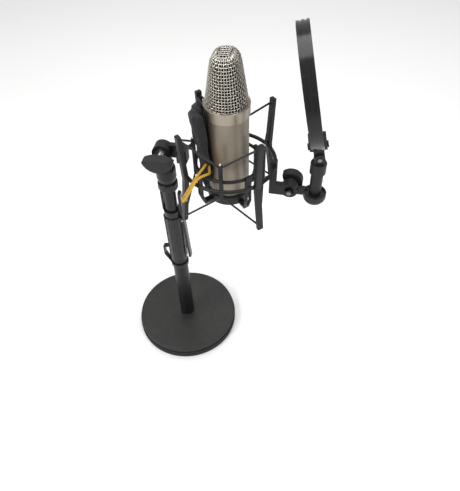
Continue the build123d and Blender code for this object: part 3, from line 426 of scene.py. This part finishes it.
# ---------------------------------------------------------------- what a user would change
class MetalColours(bpy.types.PropertyGroup):
    """Colours of the hard pieces."""

    nickel: bpy.props.FloatVectorProperty(
        name="Nickel", description="Satin body of the microphone", subtype="COLOR", size=4,
        default=(0.30, 0.262, 0.215, 1.0), min=0.0, max=1.0,
    )
    wire: bpy.props.FloatVectorProperty(
        name="Wire", description="Woven wire of the head", subtype="COLOR", size=4,
        default=(0.62, 0.585, 0.52, 1.0), min=0.0, max=1.0,
    )
    plate: bpy.props.FloatVectorProperty(
        name="Plated steel", description="Screws, nuts, rivet and post caps", subtype="COLOR", size=4,
        default=(0.74, 0.73, 0.70, 1.0), min=0.0, max=1.0,
    )
    frame_black: bpy.props.FloatVectorProperty(
        name="Frame black", description="Paint of the cage, rings and joints", subtype="COLOR", size=4,
        default=(0.009, 0.009, 0.010, 1.0), min=0.0, max=1.0,
    )
    base_grey: bpy.props.FloatVectorProperty(
        name="Base grey", description="Paint of the round base", subtype="COLOR", size=4,
        default=(0.019, 0.0185, 0.018, 1.0), min=0.0, max=1.0,
    )
    plastic: bpy.props.FloatVectorProperty(
        name="Plastic", description="Clutch, knobs and hoop", subtype="COLOR", size=4,
        default=(0.010, 0.010, 0.011, 1.0), min=0.0, max=1.0,
    )


class SoftColours(bpy.types.PropertyGroup):
    """Colours of the cloth and cords."""

    cloth: bpy.props.FloatVectorProperty(
        name="Pouch cloth", description="Thin cloth of the dust pouch", subtype="COLOR", size=4,
        default=(0.0055, 0.0058, 0.0095, 1.0), min=0.0, max=1.0,
    )
    string: bpy.props.FloatVectorProperty(
        name="Drawstring", description="Golden drawstring", subtype="COLOR", size=4,
        default=(0.72, 0.40, 0.012, 1.0), min=0.0, max=1.0,
    )
    elastic: bpy.props.FloatVectorProperty(
        name="Elastic", description="Elastic cords of the shock mount", subtype="COLOR", size=4,
        default=(0.010, 0.010, 0.011, 1.0), min=0.0, max=1.0,
    )


class WeaveSizes(bpy.types.PropertyGroup):
    """Sizes of the head's woven wire and of the pouch's folds."""

    columns: bpy.props.IntProperty(
        name="Upright wires", description="Upright wires round the head, an even number",
        default=44, min=16, max=120,
    )
    pitch: bpy.props.FloatProperty(
        name="Row pitch", description="Distance between the level wires", default=3.5 * MM, unit="LENGTH",
    )
    wire_radius: bpy.props.FloatProperty(
        name="Wire radius", description="Radius of the head's wire", default=0.56 * MM, unit="LENGTH",
    )
    fold_depth: bpy.props.FloatProperty(
        name="Fold depth", description="Depth of the pouch's long folds", default=3.4 * MM, unit="LENGTH",
    )


# ---------------------------------------------------------------- head of the microphone
HEAD_SHOULDER = 17.6 * MM            # half thickness where the crown starts
HEAD_HALF_WIDTH = 23.0 * MM          # half width there
CROWN_HEIGHT = 15.0 * MM             # from there to the top
CROWN_BEND = 8.5 * MM                # the crown's first bend above its start
CROWN_LIP = 2.0 * MM                 # its last bend below the top
CROWN_INSETS = (0.0, 0.10, 0.30, 0.56)   # shares of the shoulder lost at each height
CROWN_WIRE_STEPS = 8
SHORTEST_WIRE = 0.5 * MM
WIRE_SIDES = 6


def head_sections():
    """Heights above the head ring with half the head's thickness and width there."""
    foot = (grille_high.y - grille_low.y) / 2
    top = grille_high.z - grille_low.z
    start = top - CROWN_HEIGHT
    heights = (start, start + CROWN_BEND, top - CROWN_LIP, top)
    rows = [(0.0, foot, foot)]
    for height, share in zip(heights, CROWN_INSETS):
        rows.append((height, HEAD_SHOULDER * (1 - share), HEAD_HALF_WIDTH - HEAD_SHOULDER * share))
    return rows


def stadium_point(half_x, half_y, share):
    """Point and outward direction on a round-ended outline, at a share of the way round it."""
    straight = half_y - half_x
    length = 4 * straight + 2 * pi * half_x
    walked = (share % 1.0) * length
    stretches = (
        ("line", straight, 1, 0.0), ("arc", pi * half_x, 1, 0.0), ("line", 2 * straight, -1, straight),
        ("arc", pi * half_x, -1, pi), ("line", straight, 1, -straight),
    )
    for kind, size, way, start in stretches:
        if walked <= size:
            if kind == "line":
                side = 1 if way == 1 else -1
                return Vector((side * half_x, start + way * walked, 0.0)), Vector((side, 0.0, 0.0))
            turned = start + walked / half_x
            outward = Vector((cos(turned), sin(turned), 0.0))
            return outward * half_x + Vector((0.0, way * straight, 0.0)), outward
        walked -= size
    return Vector((half_x, 0.0, 0.0)), Vector((1.0, 0.0, 0.0))


def head_profile(pitch):
    """Evenly spaced rows up the head: (height, half thickness, half width)."""
    sections = head_sections()
    rows, spare = [sections[0]], 0.0
    for low, high in zip(sections, sections[1:]):
        run = hypot(high[0] - low[0], high[1] - low[1])
        walked = pitch - spare
        while walked <= run:
            share = walked / run
            rows.append(tuple(a + (b - a) * share for a, b in zip(low, high)))
            walked += pitch
        spare = run - (walked - pitch)
    return rows


def weave_head(sizes, inset):
    """Points and faces of the crossing wires of the head."""
    rows = head_profile(sizes.pitch / 2)
    columns = 2 * sizes.columns
    swing = sizes.wire_radius * 0.95

    def spot(row, column, way):
        height, half_x, half_y = rows[row]
        point, outward = stadium_point(half_x - inset, half_y - inset, column / columns)
        over = way * swing * cos(pi * (row + column) / 2)
        return Vector((mic_x, 0.0, grille_low.z + height)) + point + outward * over

    tubes = []
    for row in range(0, len(rows), 2):
        ring = [spot(row, column, 1) for column in range(columns)]
        tubes.append(tube_rings(ring, sizes.wire_radius, WIRE_SIDES, True))
    for column in range(0, columns, 2):
        upright = [spot(row, column, -1) for row in range(len(rows))]
        tubes.append(tube_rings(upright, sizes.wire_radius, WIRE_SIDES, False))
    return join_tubes(tubes)


def weave_crown(sizes, inset):
    """Crossing wires over the flat ridge on top of the head."""
    height, half_x, half_y = head_sections()[-1]
    half_x -= inset
    half_y -= inset
    pitch = sizes.pitch
    swing = sizes.wire_radius * 0.5
    top = grille_low.z + height - sizes.wire_radius
    tubes = []
    count_y = int(2 * half_y / pitch)
    for index in range(count_y + 1):
        y = -half_y + 2 * half_y * index / count_y
        past = max(abs(y) - (half_y - half_x), 0.0)
        reach = (max(half_x**2 - past**2, 0.0)) ** 0.5
        if reach > SHORTEST_WIRE:
            line = []
            for step in range(CROWN_WIRE_STEPS + 1):
                x = (-1 + 2 * step / CROWN_WIRE_STEPS) * reach
                line.append(Vector((mic_x + x, y, top + swing * cos(pi * (index + step)))))
            tubes.append(tube_rings(line, sizes.wire_radius, WIRE_SIDES, False))
    lanes = int(half_x / pitch)
    for lane in range(-lanes, lanes + 1):
        x = lane * pitch
        reach = half_y - half_x + (half_x**2 - x**2) ** 0.5
        line = []
        for step in range(2 * count_y + 1):
            y = (-1 + step / count_y) * reach
            line.append(Vector((mic_x + x, y, top - swing * cos(pi * step))))
        tubes.append(tube_rings(line, sizes.wire_radius, WIRE_SIDES, False))
    return join_tubes(tubes)


class WeaveGrille(bpy.types.Operator):
    """Weave the head's outer wire mesh over its finer inner mesh"""

    bl_idname = "microphone.weave_grille"
    bl_label = "Head mesh"

    def execute(self, context):
        sizes = context.scene.mic_weave
        colours = context.scene.mic_metal
        inset = 2 * sizes.wire_radius
        points, faces = join_tubes([weave_head(sizes, inset), weave_crown(sizes, inset)])
        mesh = add_mesh("woven_grille", points, faces, woven_wire("bright_wire", colours.wire, 0.24))
        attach(mesh, "cradle")
        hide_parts("outer_grille")
        return {"FINISHED"}


class FinishMicrophone(bpy.types.Operator):
    """Satin nickel on the body, and the finishes of everything inside it"""

    bl_idname = "microphone.finish_microphone"
    bl_label = "Microphone body and inside"

    def execute(self, context):
        colours = context.scene.mic_metal
        dress(satin_nickel("satin_nickel", colours.nickel, 0.47), "mic_body_tube", "mic_base_cap")
        # Head ring: the nickel colour made lighter as a painted highlight; its lower roughness is its turned
        # finish.
        dress(satin_nickel("turned_nickel_painted_highlight", shade(colours.nickel, 1.25), 0.34), "head_ring")
        dress(fine_mesh("fine_inner_mesh", (0.028, 0.025, 0.022, 1.0)), "inner_mesh")
        dress(painted_metal("inside_grey", (0.10, 0.10, 0.10, 1.0), 0.5), "head_plate", "chassis_rails")
        dress(bright_plate("capsule_brass", (0.72, 0.53, 0.25, 1.0), 0.3), "capsule_ring", "connector_pins")
        dress(bright_plate("gold_film", (0.88, 0.65, 0.28, 1.0), 0.14), "capsule_membranes")
        insulator = moulded_plastic("insulator", (0.03, 0.03, 0.03, 1.0), 0.5, 900.0, 0.00003)
        dress(insulator, "capsule_saddle", "connector_insert")
        components = moulded_plastic("components", (0.02, 0.025, 0.05, 1.0), 0.35, 1500.0, 0.00001)
        dress(components, "board_components")
        dress(circuit_varnish("circuit_varnish", (0.01, 0.09, 0.035, 1.0)), "circuit_board")
        return {"FINISHED"}


class FinishShockMount(bpy.types.Operator):
    """Satin black cage, plastic lock ring, bright caps and dark nuts"""

    bl_idname = "microphone.finish_shock_mount"
    bl_label = "Shock mount"

    def execute(self, context):
        colours = context.scene.mic_metal
        black = painted_metal("cage_black", colours.frame_black, 0.42, dust=0.12)
        dress(
            black, "stand_bracket", "outer_ring", "rear_right_arm", "rear_left_arm", "front_left_arm",
            "front_right_arm", "cradle_ring", "cradle_posts", "cradle_legs", "cradle_base", "pop_bracket",
        )
        dress(moulded_plastic("lock_ring_plastic", colours.plastic, 0.45, 800.0, 0.00004), "lock_ring")
        dress(bright_plate("plated_steel", colours.plate, 0.22), "post_caps")
        dress(bright_plate("blackened_steel", shade(colours.plate, 0.06), 0.34), "tilt_nut", "pop_nut")
        return {"FINISHED"}


ELASTIC_RADIUS = 1.3 * MM
ELASTIC_SIDES = 12
POST_THICKNESS = 4.6 * MM
CORNER_REACH = 3.0 * MM      # length of cord bent at each side of a corner
LACE_CORNERS = 8             # four arm tips and four post hooks, by turns
BEND_STEPS = 6
RUN_STEPS = 12


def laced_line(tip_radius, tip_height, hook_radius, hook_height):
    """Closed line from arm tip to post hook all the way round, rounded at each corner."""
    corners = []
    for step in range(LACE_CORNERS):
        angle = radians(360 / LACE_CORNERS * (step + 1))
        radius, height = (hook_radius, hook_height) if step % 2 else (tip_radius, tip_height)
        corners.append(Vector((mic_x + radius * cos(angle), radius * sin(angle), height)))
    line = []
    for index, corner in enumerate(corners):
        following = corners[(index + 1) % LACE_CORNERS]
        before = corner + (corners[index - 1] - corner).normalized() * CORNER_REACH
        after = corner + (following - corner).normalized() * CORNER_REACH
        for step in range(BEND_STEPS + 1):
            share = step / BEND_STEPS
            line.append(before * (1 - share) ** 2 + corner * (2 * share * (1 - share)) + after * share**2)
        far = following + (corner - following).normalized() * CORNER_REACH
        line.extend(after.lerp(far, step / RUN_STEPS) for step in range(1, RUN_STEPS))
    return line


class LaceElastics(bpy.types.Operator):
    """Lace the two elastic cords between the cage's arms and the cradle's posts"""

    bl_idname = "microphone.lace_elastics"
    bl_label = "Elastic cords"

    def execute(self, context):
        sheath = braided("elastic_sheath", context.scene.mic_soft.elastic, 0.0008, 0.55, 0.15)
        hook_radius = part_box("cradle_posts")[1].x - mic_x - POST_THICKNESS / 2
        for node, tip_end in (("top_elastic", 1), ("bottom_elastic", 0)):
            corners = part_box(node)
            heights = [corners[0].z + ELASTIC_RADIUS, corners[1].z - ELASTIC_RADIUS]
            tip_height, hook_height = heights[tip_end], heights[1 - tip_end]
            tip_radius = (corners[1].x - mic_x - ELASTIC_RADIUS) * 2**0.5
            line = laced_line(tip_radius, tip_height, hook_radius, hook_height)
            points, faces = tube_rings(line, ELASTIC_RADIUS, ELASTIC_SIDES, True)
            cord = add_mesh("laced_" + node, points, faces, sheath)
            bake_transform(cord)
            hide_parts(node)
        return {"FINISHED"}


class FinishStand(bpy.types.Operator):
    """Round base, pole, clutch, clip and the swivel on top"""

    bl_idname = "microphone.finish_stand"
    bl_label = "Desk stand"

    def execute(self, context):
        colours = context.scene.mic_metal
        dress(painted_metal("base_paint", colours.base_grey, 0.40, dust=0.45, grain=500.0), "base_plate")
        rubber = moulded_plastic("rim_rubber", (0.014, 0.014, 0.015, 1.0), 0.75, 600.0, 0.0001, 0.5)
        dress(rubber, "base_rubber_rim")
        dress(painted_metal("pole_paint", colours.frame_black, 0.34, dust=0.1), "lower_tube", "inner_tube")
        gloss = moulded_plastic("gloss_plastic", colours.plastic, 0.24, 260.0, 0.00003)
        dress(gloss, "clutch_body", "clutch_lever", "cable_clip", "lock_nut")
        dress(painted_metal("swivel_paint", colours.frame_black, 0.36, dust=0.25), "swivel_socket")
        dress(bright_plate("bright_steel", colours.plate, 0.2), "base_bolt", "lever_pin", "tilt_washer")
        dress(threaded("stud_thread", colours.plate, 0.0009, 2), "thread_stud")
        dress(threaded("screw_thread", colours.plate, 0.00125, 1), "tilt_screw")
        dress(threaded("dark_thread", shade(colours.plate, 0.3), 0.00125, 1), "pop_screw")
        matte = moulded_plastic("knob_plastic", shade(colours.plastic, 1.5), 0.52, 1100.0, 0.00009, 0.35)
        dress(matte, "tilt_knob", "pop_knob")
        return {"FINISHED"}


class FinishPopFilter(bpy.types.Operator):
    """Pop filter's arm, rod, tongue, hoop and screens"""

    bl_idname = "microphone.finish_pop_filter"
    bl_label = "Pop filter"

    def execute(self, context):
        colours = context.scene.mic_metal
        arm = moulded_plastic("arm_plastic", colours.plastic, 0.42, 700.0, 0.00005, 0.2)
        dress(arm, "pop_arm", "pop_rod", "hoop_tongue", "hoop_clip")
        hoop = moulded_plastic("hoop_plastic", shade(colours.plastic, 0.8), 0.12, 300.0, 0.00002, 0.1)
        dress(hoop, "hoop_band")
        dress(bright_plate("rivet_steel", shade(colours.plate, 0.3), 0.3), "tongue_rivet")
        dress(bright_plate("blackened_screw", shade(colours.plate, 0.05), 0.34), "pivot_screw")
        dress(screen_cloth("screen_nylon", (0.02, 0.02, 0.022, 1.0)), "hoop_screens")
        return {"FINISHED"}


# ---------------------------------------------------------------- dust pouch
POUCH_ROWS = 84
POUCH_AROUND = 168
BOXINESS = 0.55              # lower is squarer; 1 would be an ellipse
SLUMP = 7.0 * MM             # how far the loose top sinks, before noise is added
TOP_PINCH = 0.55             # share of the thickness lost at the very top
FOOT_PINCH = 0.3             # and at the very bottom
PINCH_FROM = 0.93            # share of the height where the top's pinch starts
PINCH_RUN = 0.07             # and the share it runs over
PINCH_UP_TO = 0.05           # share of the height where the foot's pinch ends


def pouch_rim(height_share):
    """The folded pouch's slice: inner and outer radius in millimetres, and its end angles in degrees."""
    stops = (
        (0.0, 28.4, 36.5, 163.0, 227.0), (0.30, 26.7, 37.8, 158.5, 235.5),
        (0.70, 26.9, 43.0, 160.5, 232.0), (1.0, 28.6, 46.0, 163.5, 224.0),
    )
    for low, high in zip(stops, stops[1:]):
        if height_share <= high[0]:
            share = (height_share - low[0]) / (high[0] - low[0])
            return [a + (b - a) * share for a, b in zip(low[1:], high[1:])]
    return list(stops[-1][1:])


def boxed(wave):
    """A sine or cosine pushed out towards the corners of a box."""
    return (abs(wave) ** BOXINESS) * (1 if wave > 0 else -1)


def cloth_hollow(share, wide, thick):
    """How deep the cloth lies there, from 0 on a fold's crest to 1 in its valley."""
    wander = noise.noise(Vector((share * 3.0, wide * 1.3, 4.0))) * 1.6
    broad = sin(wide * 8.5 + wander * 2.2 + share * 1.4)
    narrow = sin(wide * 17.0 - share * 4.0 + wander * 3.0)
    fold = broad * 0.7 + narrow * 0.3
    crease = noise.noise(Vector((wide * 3.4, thick * 1.2, share * 6.5)))
    return min(max(0.5 - 0.45 * fold - 0.7 * crease, 0.0), 1.0)


def pouch_point(share, turn, fold_depth):
    """Point on the pouch's skin at a share of its height and an angle round its slice."""
    inner, outer, start, end = pouch_rim(share)
    top_pinch = TOP_PINCH * max(0.0, (share - PINCH_FROM) / PINCH_RUN) ** 2
    foot_pinch = FOOT_PINCH * max(0.0, (PINCH_UP_TO - share) / PINCH_UP_TO)
    wide = boxed(cos(turn))
    thick = boxed(sin(turn))
    angle = radians((start + end) / 2 + (end - start) / 2 * wide)
    middle = (inner + outer) / 2 * MM
    half = (outer - inner) / 2 * MM * (1.0 - top_pinch - foot_pinch)
    reach = middle + thick * (half - fold_depth * cloth_hollow(share, wide, thick))
    slump = share**4 * SLUMP * (0.5 + noise.noise(Vector((wide * 1.8, thick * 0.6, 7.0))))
    z = pouch_low.z + (pouch_high.z - pouch_low.z) * share
    return Vector((mic_x + reach * cos(angle), reach * sin(angle), z - max(slump, 0.0)))


def pouch_skin(fold_depth):
    """Points and faces of the whole pouch, closed at both ends."""
    points, faces = [], []
    for row in range(POUCH_ROWS + 1):
        for step in range(POUCH_AROUND):
            points.append(pouch_point(row / POUCH_ROWS, 2 * pi * step / POUCH_AROUND, fold_depth))
    for row in range(POUCH_ROWS):
        low, high = row * POUCH_AROUND, (row + 1) * POUCH_AROUND
        for step in range(POUCH_AROUND):
            turned = (step + 1) % POUCH_AROUND
            faces.append((low + step, low + turned, high + turned, high + step))
    faces.append(tuple(reversed(range(POUCH_AROUND))))
    faces.append(tuple(POUCH_ROWS * POUCH_AROUND + step for step in range(POUCH_AROUND)))
    return points, faces


class GatherPouch(bpy.types.Operator):
    """Fold the dust pouch's thin cloth into the gap beside the microphone"""

    bl_idname = "microphone.gather_pouch"
    bl_label = "Dust pouch"

    def execute(self, context):
        points, faces = pouch_skin(context.scene.mic_weave.fold_depth)
        colours = context.scene.mic_soft
        pouch = add_mesh("gathered_pouch", points, faces, woven_cloth("pouch_cloth", colours.cloth))
        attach(pouch, "cradle")
        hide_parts("dust_pouch")
        return {"FINISHED"}


# ---------------------------------------------------------------- drawstring
UPPER_ROUTE = (
    (0.0650, -0.0250, 0.3946), (0.0642, -0.0330, 0.3951), (0.0609, -0.0420, 0.3934),
    (0.0564, -0.0510, 0.3895), (0.0522, -0.0575, 0.3834), (0.0473, -0.0600, 0.3745),
    (0.0416, -0.0579, 0.3628),
)
LOWER_ROUTE = (
    (0.0672, -0.0250, 0.3904), (0.0692, -0.0310, 0.3886), (0.0718, -0.0373, 0.3894),
    (0.0688, -0.0435, 0.3918), (0.0634, -0.0486, 0.3924), (0.0588, -0.0546, 0.3906),
    (0.0552, -0.0610, 0.3856), (0.0506, -0.0640, 0.3764), (0.0444, -0.0620, 0.3643),
)
STRING_RADIUS = 1.6 * MM
KNOT_POINTS = 72
KNOT_SIDES = 10
KNOT_DEPTH = 1.15
KNOT_SPREAD = 4.2            # half the knot's box in units of its curve
KNOT_FIT = 0.98              # shrinks the curve so that the cord stays in the box
KNOT_CORD = 0.92             # the knot's cord is pulled a little thinner


def string_curve(name, route, material):
    """Smooth round cord whose control points are the route's points."""
    curve = bpy.data.curves.new(name, "CURVE")
    curve.dimensions = "3D"
    curve.bevel_depth = STRING_RADIUS
    curve.bevel_resolution = 5
    curve.resolution_u = 16
    curve.use_fill_caps = True
    spline = curve.splines.new("NURBS")
    spline.points.add(len(route) - 1)
    for control, place in zip(spline.points, route):
        control.co = (*place, 1.0)
    spline.order_u = 3
    spline.use_endpoint_u = True
    curve.materials.append(material)
    string = bpy.data.objects.new(name, curve)
    bpy.context.scene.collection.objects.link(string)
    return string


class TieDrawstring(bpy.types.Operator):
    """Lay the two golden strands of the drawstring and tie their knot"""

    bl_idname = "microphone.tie_drawstring"
    bl_label = "Drawstring"

    def execute(self, context):
        satin = braided("golden_satin", context.scene.mic_soft.string, 0.0009, 0.42, 0.1)
        low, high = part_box("string_knot")
        centre = (low + high) / 2
        size = (high.x - low.x) / 2 / KNOT_SPREAD
        line = []
        for step in range(KNOT_POINTS):
            t = 2 * pi * step / KNOT_POINTS
            bow = Vector((sin(t) + 2 * sin(2 * t), cos(t) - 2 * cos(2 * t), -KNOT_DEPTH * sin(3 * t)))
            line.append(centre + bow * size * KNOT_FIT)
        points, faces = tube_rings(line, STRING_RADIUS * KNOT_CORD, KNOT_SIDES, True)
        knot = add_mesh("drawstring_knot", points, faces, satin)
        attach(knot, "cradle")
        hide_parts("string_knot")
        for name, route, length, pieces in (
            ("golden_strand_upper", UPPER_ROUTE, 0.061, [knot]),
            ("golden_strand_lower", LOWER_ROUTE, 0.067, []),
        ):
            strand = string_curve(name, route, satin)
            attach(strand, "cradle")
            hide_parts(name.replace("golden_strand", "drawstring"))
        return {"FINISHED"}


# ---------------------------------------------------------------- stage
FLOOR_REACH = 6.0
SKY_STRENGTH = 0.55
LIT_POINT = (0.08, 0.0, 0.38)
LIGHTS = (    # name, place, size, watts and colour
    ("key", (-0.9, -1.1, 1.7), (0.7, 0.7), 17.0, (1.0, 0.985, 0.96)),
    ("fill", (1.4, -0.9, 1.1), (0.4, 1.0), 8.0, (0.96, 0.98, 1.0)),
    ("top", (0.1, 0.3, 1.9), (1.2, 1.2), 17.0, (1.0, 1.0, 1.0)),
)
CAMERA_PLACE = (0.197, -0.477, 0.7822)
CAMERA_TURN = radians(-13.3)
CAMERA_DROP = radians(49.1)
CAMERA_ROLL = radians(-2.1)
LENS = 36.2


def area_light(name, place, size, power, colour):
    """Soft rectangular light aimed at the lit point."""
    light = bpy.data.lights.new(name, "AREA")
    light.shape = "RECTANGLE"
    light.size, light.size_y = size
    light.energy = power
    light.color = colour
    lamp = bpy.data.objects.new(name, light)
    lamp.location = place
    aim = (Vector(LIT_POINT) - Vector(place)).to_track_quat("-Z", "Y")
    lamp.rotation_mode = "QUATERNION"
    lamp.rotation_quaternion = aim
    bpy.context.scene.collection.objects.link(lamp)


class SetStage(bpy.types.Operator):
    """Pale floor, soft studio light and the camera"""

    bl_idname = "microphone.set_stage"
    bl_label = "Stage"

    def execute(self, context):
        scene = context.scene
        finish = Finish("floor_white")
        mottle = finish.noise(3.0, 2.0)
        paper = finish.surface(
            Base_Color=finish.blend(mottle, (0.93, 0.93, 0.93, 1.0), (0.95, 0.95, 0.95, 1.0)), Roughness=0.95
        )
        ways = ((-1, -1), (1, -1), (1, 1), (-1, 1))
        corners = [(FLOOR_REACH * across, FLOOR_REACH * along, 0) for across, along in ways]
        floor = add_mesh("floor", corners, [(0, 1, 2, 3)], paper)
        world = bpy.data.worlds.new("studio")
        world.use_nodes = True
        sky = world.node_tree.nodes["Background"]
        sky.inputs["Color"].default_value = WHITE
        sky.inputs["Strength"].default_value = SKY_STRENGTH
        scene.world = world
        scene.view_settings.view_transform = "Standard"
        for name, place, size, power, colour in LIGHTS:
            area_light(name, place, size, power, colour)
        self.add_camera(scene)
        return {"FINISHED"}

    @staticmethod
    def add_camera(scene):
        """Camera above and in front, looking down at the microphone."""
        along = cos(CAMERA_DROP)
        forward = Vector((sin(CAMERA_TURN) * along, cos(CAMERA_TURN) * along, -sin(CAMERA_DROP)))
        level = Vector((cos(CAMERA_TURN), -sin(CAMERA_TURN), 0.0))
        upward = level.cross(forward)
        right = level * cos(CAMERA_ROLL) + upward * sin(CAMERA_ROLL)
        top = upward * cos(CAMERA_ROLL) - level * sin(CAMERA_ROLL)
        camera = bpy.data.cameras.new("camera")
        camera.lens = LENS
        camera.sensor_width = 36.0
        camera.clip_start = 0.01
        holder = bpy.data.objects.new("camera", camera)
        turned = Matrix((right, top, -forward)).transposed().to_4x4()
        holder.matrix_world = Matrix.Translation(Vector(CAMERA_PLACE)) @ turned
        scene.collection.objects.link(holder)
        scene.camera = holder


# ---------------------------------------------------------------- sidebar and registration
OPERATORS = (
    FinishMicrophone, WeaveGrille, FinishShockMount, LaceElastics, FinishStand, FinishPopFilter,
    GatherPouch, TieDrawstring, SetStage,
)
GROUPS = {"mic_metal": MetalColours, "mic_soft": SoftColours, "mic_weave": WeaveSizes}


class MICROPHONE_PT_pieces(bpy.types.Panel):
    """Lists the pieces of the microphone in the sidebar"""

    bl_idname = "MICROPHONE_PT_pieces"
    bl_label = "Microphone"
    bl_space_type = "VIEW_3D"
    bl_region_type = "UI"
    bl_category = "Microphone"

    def draw(self, context):
        for operator in OPERATORS:
            self.layout.operator(operator.bl_idname)


def register():
    """Make the settings, operators and panel known to Blender."""
    for group in GROUPS.values():
        bpy.utils.register_class(group)
    for name, group in GROUPS.items():
        setattr(bpy.types.Scene, name, bpy.props.PointerProperty(type=group))
    for operator in OPERATORS:
        bpy.utils.register_class(operator)
    bpy.utils.register_class(MICROPHONE_PT_pieces)


def unregister():
    """Take them away again."""
    bpy.utils.unregister_class(MICROPHONE_PT_pieces)
    for operator in reversed(OPERATORS):
        bpy.utils.unregister_class(operator)
    for name in GROUPS:
        delattr(bpy.types.Scene, name)
    for group in GROUPS.values():
        bpy.utils.unregister_class(group)


def main():
    """Run every operator in order."""
    register()
    for operator in OPERATORS:
        group, name = operator.bl_idname.split(".")
        getattr(getattr(bpy.ops, group), name)()


if __name__ == "__main__":
    main()
